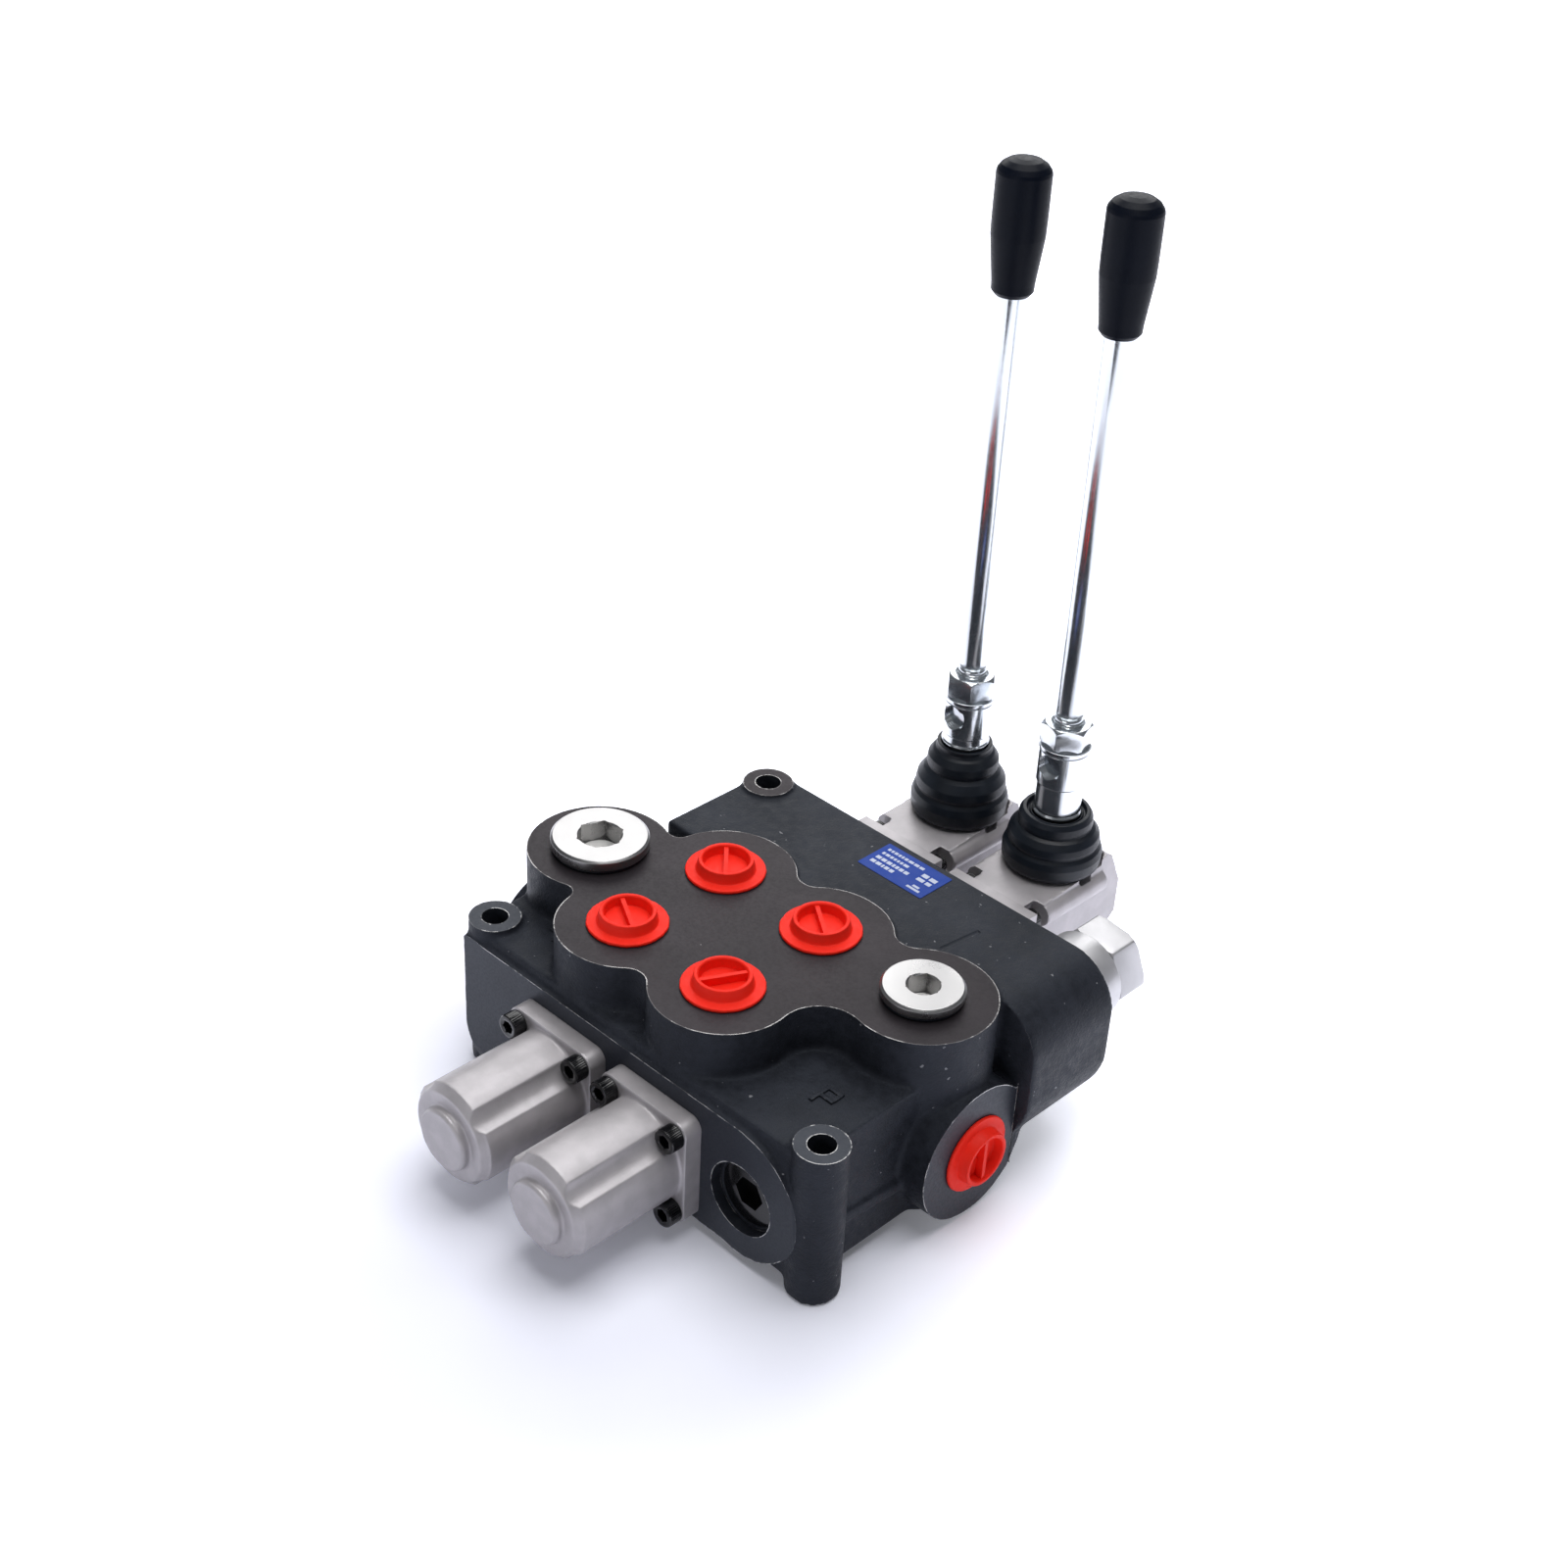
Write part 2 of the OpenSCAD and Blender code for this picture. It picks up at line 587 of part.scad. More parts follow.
// Rubber bellows: outer half-profile going up, then the inner one down
module boot(x, neck_low, neck_top) color([0.06, 0.07, 0.09]) {
    h = neck_low;
    translate([x, lever_y, 0]) rotate_extrude() polygon([
        [17.2, 54.2], [20.6, 54.2], [21, 55], [21.2, 59], [20.6, 62], [19.2, 63],
        [19.4, 66], [18, 70], [16, 71.5], [15.6, 74], [15, h - 2], [14, h], [12.2, h + 0.5],
        [12, neck_top], [adapter_r + 0.1, neck_top], [adapter_r + 0.1, h - 2.5], [13.2, h - 4],
        [13.6, 73], [14.2, 70], [16.2, 68], [17.2, 64], [18.6, 61], [19.2, 58], [17.2, 57]]);
}

module lever_adapter(x) color([0.8, 0.82, 0.85]) difference() {
    translate([x, lever_y, 0]) rotate_extrude()
        polygon([[0, adapter_z], [9, adapter_z], [adapter_r - 0.8, adapter_z + 1],
            [adapter_r - 0.8, 84], [adapter_r, 85], [adapter_r, adapter_top_z - 0.8],
            [adapter_r - 0.8, adapter_top_z], [0, adapter_top_z]]);
    post(x, lever_y, stub_r, adapter_z - 1, adapter_z + 16.05);
    post(x, lever_y, rod_d / 2, rod_low_z, adapter_top_z + 1);
    // Threaded cross hole on the side that faces the valve
    along_y(x, cross_hole_z, 5.1, lever_y - adapter_r - 1, lever_y);
}

module lock_washer(x) color([0.8, 0.82, 0.85]) difference() {
    post(x, lever_y, 11, adapter_top_z, adapter_top_z + washer_t);
    post(x, lever_y, rod_d / 2 + 0.1, adapter_top_z - 1, adapter_top_z + washer_t + 1);
}

module lock_nut(x, turn) color([0.8, 0.82, 0.85])
    translate([x, lever_y, adapter_top_z + washer_t]) difference() {
        intersection() {
            rotate(turn) hex_bar(nut_af, nut_t);
            rotate_extrude() polygon([[0, 0], [9.6, 0], [10.97, 1.2], [10.97, nut_t - 1.6],
                [9.2, nut_t], [0, nut_t]]);
        }
        translate([0, 0, -1]) cylinder(r = rod_d / 2, h = nut_t + 2);
    }

module lever_rod(x) color([0.8, 0.82, 0.85])
    post(x, lever_y, rod_d / 2, rod_low_z, knob_top_z - 16);

module lever_knob(x) color([0.05, 0.05, 0.06])
    translate([x, lever_y, 0]) rotate_extrude() polygon(concat(
        [[rod_d / 2, knob_low_z], [knob_neck_r, knob_low_z], [knob_neck_r + 0.2, knob_low_z + 2],
            [knob_r - 0.5, knob_low_z + 18], [knob_r, knob_low_z + 24], [knob_r, knob_top_z - 5.5]],
        [for (a = [15 : 15 : 90]) [(knob_r + 0.2) * cos(a), knob_top_z - 5.5 + 5.5 * sin(a)]],
        [[0, knob_top_z - 16], [rod_d / 2, knob_top_z - 16]]));

module cap_screws(x)
    color([0.05, 0.05, 0.05]) screws(x, cap_screw[0], [axis_z - cap_screw[1], axis_z + cap_screw[1]],
        front_y - cap_flange_t, 1, CAP_SCREW, 19);

module housing_screws(x)
    color([0.05, 0.05, 0.05]) screws(x, house_screw_x, house_screw_z, back_y + house_flange_t, -1,
        HOUSE_SCREW, 20);

valve_body();
work_port_caps();
inlet_port_cap();
outlet_port_cap();
inlet_top_plug();
inlet_top_seal();
outlet_top_plug();
outlet_top_seal();
check_plug();
check_plug_seal();
check_spring();
check_poppet();
relief_sleeve();
relief_cap();
relief_seal();
relief_adjuster();
relief_spring();
relief_poppet();
data_label();
spool(spool_x[0]);  // spool_1
spool_bolt(spool_x[0]);  // spool_bolt_1
spring_seats(spool_x[0]);  // spring_seats_1
centring_spring(spool_x[0]);  // centring_spring_1
spring_cap(spool_x[0]);  // spring_cap_1
cap_screws(spool_x[0]);  // cap_screws_1
spool_seals(spool_x[0]);  // spool_seals_1
lever_housing(spool_x[0]);  // lever_housing_1
housing_screws(spool_x[0]);  // housing_screws_1
pivot_pin(spool_x[0]);  // pivot_pin_1
lever_arm(spool_x[0]);  // lever_arm_1
boot(spool_x[0], 82, 87.5);  // boot_1
lever_adapter(spool_x[0]);  // lever_adapter_1
lock_washer(spool_x[0]);  // lock_washer_1
lock_nut(spool_x[0], 10);  // lock_nut_1
lever_rod(spool_x[0]);  // lever_rod_1
lever_knob(spool_x[0]);  // lever_knob_1
spool(spool_x[1]);  // spool_2
spool_bolt(spool_x[1]);  // spool_bolt_2
spring_seats(spool_x[1]);  // spring_seats_2
centring_spring(spool_x[1]);  // centring_spring_2
spring_cap(spool_x[1]);  // spring_cap_2
cap_screws(spool_x[1]);  // cap_screws_2
spool_seals(spool_x[1]);  // spool_seals_2
lever_housing(spool_x[1]);  // lever_housing_2
housing_screws(spool_x[1]);  // housing_screws_2
pivot_pin(spool_x[1]);  // pivot_pin_2
lever_arm(spool_x[1]);  // lever_arm_2
boot(spool_x[1], 76.5, 79);  // boot_2
lever_adapter(spool_x[1]);  // lever_adapter_2
lock_washer(spool_x[1]);  // lock_washer_2
lock_nut(spool_x[1], 44);  // lock_nut_2
lever_rod(spool_x[1]);  // lever_rod_2
lever_knob(spool_x[1]);  // lever_knob_2
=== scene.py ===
import itertools
import json
import math
import random

import bmesh
import bpy
from mathutils import Matrix, Vector


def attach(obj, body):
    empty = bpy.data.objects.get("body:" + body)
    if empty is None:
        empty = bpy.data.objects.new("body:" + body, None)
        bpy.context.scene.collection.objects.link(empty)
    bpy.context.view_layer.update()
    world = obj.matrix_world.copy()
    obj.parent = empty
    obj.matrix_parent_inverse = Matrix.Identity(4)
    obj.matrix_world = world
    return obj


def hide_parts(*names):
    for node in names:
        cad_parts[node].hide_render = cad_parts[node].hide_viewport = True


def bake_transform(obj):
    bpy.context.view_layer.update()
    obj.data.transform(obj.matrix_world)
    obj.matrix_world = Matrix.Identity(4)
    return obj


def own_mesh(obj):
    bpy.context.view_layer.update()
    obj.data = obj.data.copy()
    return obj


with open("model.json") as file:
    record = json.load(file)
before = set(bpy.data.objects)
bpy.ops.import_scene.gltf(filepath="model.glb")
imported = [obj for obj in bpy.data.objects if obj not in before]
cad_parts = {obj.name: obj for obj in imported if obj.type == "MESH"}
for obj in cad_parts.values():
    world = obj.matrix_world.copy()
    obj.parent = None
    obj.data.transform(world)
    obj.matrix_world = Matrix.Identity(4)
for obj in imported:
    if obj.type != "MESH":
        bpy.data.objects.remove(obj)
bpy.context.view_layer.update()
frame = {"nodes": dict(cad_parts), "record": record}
MM = 0.001

# Places that several pieces share, in millimetres
AXIS_Z = 30.0                   # height of the spools and side ports
SPOOL_X = (-34.5, 17.5)
LEVER_Y = 214.0
PAD_Z = 85.0                    # machined top
SLAB_Z = 83.5                   # cast top behind it, where the label is
DECK_Z = 65.0                   # lower tops beside the columns
FRONT_Y = -11.0                 # machined front face, where the spring caps sit
BACK_Y = 170.0                  # machined back face, where the lever housings sit
INLET_X = 102.0                 # face of the inlet flange
OUTLET_X = -111.0               # face of the outlet boss
PORT_Y = (20.25, 71.75)         # rows of the work ports
INLET_PLUG = (70.0, 71.0)
OUTLET_PLUG = (-79.5, 46.0)
BOSS_X = 89.0                   # the two front mounting bosses stand at -BOSS_X and BOSS_X
BOSS_Z = 68.0                   # their top
CHECK_X = 61.5                  # axis of the check valve
RELIEF_X = 83.5                 # axis of the relief valve
RELIEF_Z = 61.0


# ------------------------------------------------------------ mesh helpers

def to_object(name, bm, material):
    """Makes a scene object of a bmesh drawn in millimetres."""
    bm.transform(Matrix.Scale(MM, 4))
    bmesh.ops.recalc_face_normals(bm, faces=bm.faces)
    mesh = bpy.data.meshes.new(name)
    bm.to_mesh(mesh)
    bm.free()
    obj = bpy.data.objects.new(name, mesh)
    bpy.context.scene.collection.objects.link(obj)
    if material is not None:
        mesh.materials.append(material)
    shade(obj)
    return obj


def shade(obj, angle=35.0):
    """Smooth shading, with the edges that turn by more than the angle kept sharp."""
    mesh = obj.data
    mesh.polygons.foreach_set("use_smooth", [True] * len(mesh.polygons))
    mesh.set_sharp_from_angle(angle=math.radians(angle))


def settle(obj):
    """Replaces the object's mesh by the result of its modifiers."""
    bpy.context.view_layer.update()
    graph = bpy.context.evaluated_depsgraph_get()
    mesh = bpy.data.meshes.new_from_object(obj.evaluated_get(graph))
    obj.modifiers.clear()
    old = obj.data
    obj.data = mesh
    bpy.data.meshes.remove(old)
    return obj


def boolean(obj, cutter_bm, operation="DIFFERENCE", material=None):
    """Cuts or joins a shape drawn in millimetres."""
    cutter = to_object("cutter", cutter_bm, material)
    mod = obj.modifiers.new("bool", "BOOLEAN")
    mod.operation = operation
    mod.object = cutter
    mod.solver = "MANIFOLD"
    settle(obj)
    bpy.data.objects.remove(cutter)
    return obj


def bevel(obj, width, angle=30.0):
    """Rounds the edges that turn by more than the angle."""
    mod = obj.modifiers.new("bevel", "BEVEL")
    mod.width = width * MM
    mod.segments = 2
    mod.limit_method = "ANGLE"
    mod.angle_limit = math.radians(angle)
    mod.harden_normals = False
    settle(obj)
    shade(obj)
    return obj


def frame_to(origin, axis, turn=0.0):
    """The matrix that takes local +Z to axis, at origin, both in millimetres."""
    z = Vector(axis).normalized()
    x = Vector((0, 0, 1)) if abs(z.z) < 0.9 else Vector((1, 0, 0))
    x = (x - z * x.dot(z)).normalized()
    y = z.cross(x)
    m = Matrix((x, y, z)).transposed().to_4x4()
    m.translation = Vector(origin)
    return m @ Matrix.Rotation(math.radians(turn), 4, "Z")


def lathe(profile, segs, matrix, wobble=None):
    """Turns (radius, height) points about local Z. A profile that starts or ends off the axis is closed."""
    bm = bmesh.new()
    rings = []
    closed = profile[0][0] > 1e-6 or profile[-1][0] > 1e-6
    for r, z in profile:
        if r < 1e-6:
            rings.append([bm.verts.new(matrix @ Vector((0, 0, z)))])
            continue
        ring = []
        for i in range(segs):
            a = 2 * math.pi * i / segs
            rr = r + (wobble(a, r, z) if wobble else 0.0)
            ring.append(bm.verts.new(matrix @ Vector((rr * math.cos(a), rr * math.sin(a), z))))
        rings.append(ring)
    pairs = list(zip(rings, rings[1:]))
    if closed:
        pairs.append((rings[-1], rings[0]))
    for a, b in pairs:
        for i in range(segs):
            j = (i + 1) % segs
            quad = [a[i % len(a)], a[j % len(a)], b[j % len(b)], b[i % len(b)]]
            quad = [v for k, v in enumerate(quad) if v not in quad[:k]]
            if len(quad) > 2:
                bm.faces.new(quad)
    return bm


def rounded(points, radius, steps=4, close=False):
    """Rounds the corners of a line of 2-D points. A point may give its own radius as a third number."""
    out = []
    n = len(points)
    straight = 0.03                 # turns smaller than about this, in radians, aren't rounded
    for i, p in enumerate(points):
        r = p[2] if len(p) > 2 else radius
        p = Vector(p[:2])
        if r <= 0 or (not close and i in (0, n - 1)):
            out.append((p.x, p.y))
            continue
        a, b = Vector(points[i - 1][:2]), Vector(points[(i + 1) % n][:2])
        u, v = (a - p), (b - p)
        lu, lv = u.length, v.length
        if lu < 1e-9 or lv < 1e-9:
            out.append((p.x, p.y))
            continue
        u, v = u / lu, v / lv
        cosine = max(-1.0, min(1.0, u.dot(v)))
        half = math.acos(cosine) / 2
        if half < straight or half > math.pi / 2 - straight:
            out.append((p.x, p.y))
            continue
        cut = min(r / math.tan(half), 0.48 * lu, 0.48 * lv)
        for k in range(steps + 1):
            t = k / steps
            s, e = p + u * cut, p + v * cut
            q = (1 - t) ** 2 * s + 2 * t * (1 - t) * p + t * t * e
            out.append((q.x, q.y))
    return out


def prism(outline, z0, z1, matrix=None, bm=None):
    """A straight solid on a 2-D outline, added to bm if there is one."""
    bm = bm or bmesh.new()
    matrix = matrix or Matrix.Identity(4)
    low = [bm.verts.new(matrix @ Vector((x, y, z0))) for x, y in outline]
    high = [bm.verts.new(matrix @ Vector((x, y, z1))) for x, y in outline]
    n = len(outline)
    bm.faces.new(low[::-1])
    bm.faces.new(high)
    for i in range(n):
        j = (i + 1) % n
        bm.faces.new([low[i], low[j], high[j], high[i]])
    return bm


def rod(r, z0, z1, origin, axis=(0, 0, 1), segs=64):
    """A plain round bar from z0 to z1 along an axis through origin."""
    return lathe([(0, z0), (r, z0), (r, z1), (0, z1)], segs, frame_to(origin, axis))


def box(a, b, bm=None):
    """A box between two corners, added to bm if there is one."""
    bm = bm or bmesh.new()
    v = [bm.verts.new(corner) for corner in itertools.product(*zip(a, b))]
    for f in ((0, 1, 3, 2), (4, 6, 7, 5), (0, 4, 5, 1), (2, 3, 7, 6), (0, 2, 6, 4), (1, 5, 7, 3)):
        bm.faces.new([v[i] for i in f])
    return bm


def hexagon(across_flats, turn=0.0):
    r = across_flats / math.sqrt(3)
    corners = [math.radians(60 * i + turn) for i in range(6)]
    return [(r * math.cos(a), r * math.sin(a)) for a in corners]


def cad_copy(node, name):
    """A free copy of a CAD node's mesh, as one closed skin."""
    source = frame["nodes"][node]
    obj = bpy.data.objects.new(name, source.data.copy())
    bpy.context.scene.collection.objects.link(obj)
    obj.data.materials.clear()
    bm = bmesh.new()
    bm.from_mesh(obj.data)
    bmesh.ops.remove_doubles(bm, verts=bm.verts, dist=2e-6)
    bmesh.ops.recalc_face_normals(bm, faces=bm.faces)
    bm.to_mesh(obj.data)
    bm.free()
    return obj


def paint(obj, material, test):
    """Gives a material to the faces whose middle, in millimetres, and normal pass the test."""
    mesh = obj.data
    mesh.materials.append(material)
    slot = len(mesh.materials) - 1
    for face in mesh.polygons:
        if test(face.center / MM, face.normal):
            face.material_index = slot


def cast_skin(obj, voxel, rounds, pull):
    """Remeshes a sharp solid and softens its corners, as a sand casting's are. pull moves
    the faces that are machined later outwards, so that their edges come out crisp."""
    for v in obj.data.vertices:
        p = pull(v.co / MM)
        if p is not None:
            v.co = p * MM
    mod = obj.modifiers.new("remesh", "REMESH")
    mod.mode = "VOXEL"
    mod.voxel_size = voxel * MM
    mod.adaptivity = 0.0
    mod = obj.modifiers.new("soften", "SMOOTH")
    mod.factor = 0.5
    mod.iterations = rounds
    return settle(obj)


# --------------------------------------------------------------- materials

class Nodes:
    """A short way to wire one material."""

    def __init__(self, name, color, rough, metal=0.0, spec=0.5, sheen=(1.0, 1.0, 1.0)):
        self.mat = bpy.data.materials.new(name)
        self.mat.use_nodes = True
        self.tree = self.mat.node_tree
        self.bsdf = self.tree.nodes["Principled BSDF"]
        self.set("Base Color", (*color, 1.0))
        self.set("Roughness", rough)
        self.set("Metallic", metal)
        self.set("Specular IOR Level", spec)
        self.set("Specular Tint", (*sheen, 1.0))
        self.coord = self.add("ShaderNodeTexCoord").outputs["Object"]

    def add(self, kind, **values):
        node = self.tree.nodes.new(kind)
        for k, v in values.items():
            if hasattr(node, k):
                setattr(node, k, v)
            else:
                node.inputs[k.replace("_", " ")].default_value = v
        return node

    def link(self, a, b):
        self.tree.links.new(a, b)

    def set(self, socket, value):
        if isinstance(value, bpy.types.NodeSocket):
            self.link(value, self.bsdf.inputs[socket])
        else:
            self.bsdf.inputs[socket].default_value = value

    def noise(self, scale, detail=4.0, rough=0.55, stretch=None, distortion=0.0):
        """Noise with about `scale` lumps a metre."""
        node = self.add("ShaderNodeTexNoise", Scale=scale, Detail=detail, Roughness=rough,
                        Distortion=distortion)
        source = self.coord
        if stretch:
            m = self.add("ShaderNodeMapping")
            m.inputs["Scale"].default_value = stretch
            self.link(self.coord, m.inputs["Vector"])
            source = m.outputs["Vector"]
        self.link(source, node.inputs["Vector"])
        return node.outputs["Fac"]

    def span(self, value, low, high, to_low=0.0, to_high=1.0):
        """Takes low..high to to_low..to_high with soft ends."""
        node = self.add("ShaderNodeMapRange")
        node.interpolation_type = "SMOOTHSTEP"
        node.inputs["From Min"].default_value = low
        node.inputs["From Max"].default_value = high
        node.inputs["To Min"].default_value = to_low
        node.inputs["To Max"].default_value = to_high
        self.link(value, node.inputs["Value"])
        return node.outputs["Result"]

    def math(self, op, a, b=0.0):
        node = self.add("ShaderNodeMath")
        node.operation = op
        for socket, v in zip(node.inputs, (a, b)):
            if isinstance(v, bpy.types.NodeSocket):
                self.link(v, socket)
            else:
                socket.default_value = v
        return node.outputs[0]

    def mix(self, fac, a, b):
        node = self.add("ShaderNodeMix")
        node.data_type = "RGBA"
        sockets = [s for s in node.inputs if s.enabled]
        for socket, v in zip(sockets, (fac, a, b)):
            if isinstance(v, bpy.types.NodeSocket):
                self.link(v, socket)
            elif isinstance(v, (tuple, list)):
                socket.default_value = (*v[:3], 1.0)
            else:
                socket.default_value = v
        return [s for s in node.outputs if s.enabled][0]

    def bump(self, height, strength, distance):
        node = self.add("ShaderNodeBump")
        node.inputs["Strength"].default_value = strength
        node.inputs["Distance"].default_value = distance * MM
        self.link(height, node.inputs["Height"])
        return node.outputs["Normal"]

    def edge(self, radius, low, high):
        """1 on edges sharper than the radius, 0 on flat ground. low and high are how far the
        rounded normal has to turn away, as 1 less its cosine."""
        bev = self.add("ShaderNodeBevel", samples=6)
        bev.inputs["Radius"].default_value = radius * MM
        geo = self.add("ShaderNodeNewGeometry")
        dot = self.add("ShaderNodeVectorMath", operation="DOT_PRODUCT")
        self.link(bev.outputs["Normal"], dot.inputs[0])
        self.link(geo.outputs["Normal"], dot.inputs[1])
        return self.span(self.math("SUBTRACT", 1.0, dot.outputs["Value"]), low, high)


def cast_paint(name, color, rough, grain, spec):
    """Paint on a sand-cast skin: fine grain, soft blotches, worn corners and specks of dust."""
    n = Nodes(name, color, rough, spec=spec, sheen=(0.78, 0.86, 1.0))
    fine = n.noise(1500, 3.0, 0.6)
    grit = n.noise(750, 3.0, 0.6)
    mid = n.noise(260, 4.0, 0.6)
    blotch = n.noise(38, 3.0, 0.5)
    uneven = n.math("ADD", n.math("MULTIPLY", blotch, 0.55), n.math("MULTIPLY", mid, 0.45))
    tone = n.span(uneven, 0.36, 0.64)
    base = n.mix(tone, [c * 0.74 for c in color], [c * 1.3 for c in color])
    specks = n.span(n.noise(330, 2.0, 0.5), 0.735, 0.77)
    base = n.mix(n.math("MULTIPLY", specks, 0.55), base, (0.3, 0.3, 0.32))
    worn = n.math("MULTIPLY", n.edge(0.7, 0.05, 0.3), n.span(n.noise(120, 5.0, 0.7), 0.5, 0.62))
    n.set("Base Color", n.mix(n.math("MULTIPLY", worn, 0.6), base, (0.4, 0.39, 0.38)))
    n.set("Roughness", n.span(mid, 0.3, 0.7, rough - 0.08, rough + 0.1))
    height = n.math("ADD", n.math("MULTIPLY", fine, 0.35), n.math("MULTIPLY", grit, 0.8))
    height = n.math("ADD", height, n.math("MULTIPLY", mid, 0.9))
    n.set("Normal", n.bump(height, grain, 0.4))
    return n.mat


M = {}
M["cast"] = cast_paint("cast_body_paint", (0.0163, 0.0180, 0.0235), 0.5, 0.6, 0.16)


def machined_paint(name, dark, light, spec, sheen, highlight_floor):
    """Paint over a milled face: smoother, scratched and chipped, with the edges worn bright in spots
    and a painted highlight line along the rest of every edge; the last argument is that painted highlight's
    brightness."""
    n = Nodes(name, dark, 0.42, spec=spec, sheen=sheen)
    fine = n.noise(900, 3.0, 0.6)
    marks = n.noise(420, 2.0, 0.5, stretch=(0.12, 1.0, 1.0))
    base = n.mix(n.span(n.noise(28, 3.0, 0.5), 0.35, 0.7), dark, light)
    chips = n.span(n.noise(75, 5.0, 0.72, stretch=(1.0, 2.2, 1.0)), 0.715, 0.735)
    scratch = n.span(n.noise(60, 6.0, 0.8, stretch=(0.35, 3.0, 1.0), distortion=0.6), 0.735, 0.75)
    # Painted highlight: every edge is brightened at least to the last argument's level, and the worn spots
    # fully to bare metal
    wear_and_highlight = n.span(n.noise(85, 6.0, 0.75), 0.45, 0.54, highlight_floor, 1.0)
    rim = n.math("MULTIPLY", n.edge(1.0, 0.03, 0.14), wear_and_highlight)
    bare_and_highlight = n.math("MAXIMUM", n.math("MAXIMUM", chips, scratch), rim)
    n.set("Base Color", n.mix(bare_and_highlight, base, (0.75, 0.74, 0.73)))
    n.set("Metallic", n.math("MULTIPLY", bare_and_highlight, 0.35))
    n.set("Roughness", n.span(fine, 0.3, 0.7, 0.36, 0.5))
    height = n.math("ADD", n.math("MULTIPLY", fine, 0.6), n.math("MULTIPLY", marks, 0.6))
    n.set("Normal", n.bump(height, 0.12, 0.12))
    return n.mat


# The last number of each is how bright the painted highlight line along the edges is
M["pad"] = machined_paint("pad_paint", (0.0120, 0.0102, 0.0120), (0.0205, 0.0170, 0.0200), 0.18,
                          (1.0, 0.9, 0.98), 0.18)
M["milled"] = machined_paint("milled_face_paint", (0.016, 0.0180, 0.025), (0.023, 0.0260, 0.034), 0.3,
                             (0.8, 0.87, 1.0), 0.04)


def simple(name, color, rough, metal=0.0, bump=0.1, scale=800, spec=0.5, spread=0.1):
    """One colour, a little uneven, on a finely grained skin. scale is the grains in a metre."""
    n = Nodes(name, color, rough, metal, spec)
    fine = n.noise(scale, 4.0, 0.6)
    blotch = n.noise(scale / 12, 3.0, 0.5)
    n.set("Base Color", n.mix(n.span(blotch, 0.3, 0.7), [c * (1 - spread) for c in color],
                              [min(1.0, c * (1 + spread)) for c in color]))
    n.set("Roughness", n.span(fine, 0.3, 0.7, rough * 0.85, min(1.0, rough * 1.15)))
    n.set("Normal", n.bump(fine, bump, 0.15))
    return n.mat


M["red"] = simple("cap_plastic_red", (0.84, 0.022, 0.010), 0.5, bump=0.03, scale=300, spread=0.05, spec=0.12)
M["aluminium"] = simple("blasted_aluminium", (0.41, 0.39, 0.405), 0.42, 0.35, bump=0.3, scale=1500,
                        spread=0.07)
M["steel"] = simple("turned_steel", (0.39, 0.385, 0.385), 0.28, 0.97, bump=0.0, scale=60, spread=0.03)
M["zinc"] = simple("bright_zinc", (0.62, 0.65, 0.68), 0.17, 0.95, bump=0.03, scale=500, spread=0.06)
M["rubber"] = simple("boot_rubber", (0.0060, 0.0090, 0.0150), 0.42, bump=0.1, scale=1200, spread=0.2,
                     spec=0.3)
M["black_screw"] = simple("black_oxide", (0.005, 0.005, 0.006), 0.12, 0.15, bump=0.02, scale=900, spec=0.7)
M["knob"] = simple("knob_plastic", (0.0022, 0.0036, 0.0080), 0.4, bump=0.06, scale=700, spec=0.08)
M["inner_steel"] = simple("plain_steel", (0.42, 0.42, 0.43), 0.3, 0.9, bump=0.05)
M["label"] = simple("label_film", (0.010, 0.045, 0.28), 0.5, bump=0.02, scale=200, spec=0.15)
M["socket"] = simple("socket_steel", (0.86, 0.85, 0.83), 0.45, 0.7, bump=0.0, scale=120, spread=0.05)
# Painted shade: a dark copy of the bright zinc for the walls of the lever adapters' cross holes
M["zinc_dark"] = simple("zinc_in_shade", (0.018, 0.021, 0.025), 0.3, 0.5, bump=0.03)
M["relief"] = simple("relief_silver", (0.50, 0.495, 0.51), 0.36, 0.6, bump=0.02, scale=900, spread=0.06)
M["label_white"] = simple("label_white", (0.42, 0.47, 0.60), 0.4, bump=0.02, scale=200)

SLOT_TO_MATERIAL = {
    "cast_body": "cast", "red_plastic": "red", "bright_steel": "steel", "black_rubber": "rubber",
    "black_oxide": "black_screw", "chromed_spool": "steel", "plain_steel": "inner_steel",
    "blasted_aluminium": "aluminium", "zinc_plate": "zinc", "black_plastic": "knob",
    "blue_label": "label",
}
for part in frame["record"]["subparts"]:
    node = frame["nodes"][part["node"]]
    chosen = M[SLOT_TO_MATERIAL[part["material_slot"]]]
    if not node.material_slots:
        node.data.materials.append(chosen)
    for s in node.material_slots:
        s.material = chosen


def finish_piece(obj, body, node=None):
    """Fixes a finished piece to its body and lets it stand for its CAD node, if it has one."""
    shade(obj)
    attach(obj, body)
    if node:
        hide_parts(node)
    return obj


# ------------------------------------------------------------ the casting

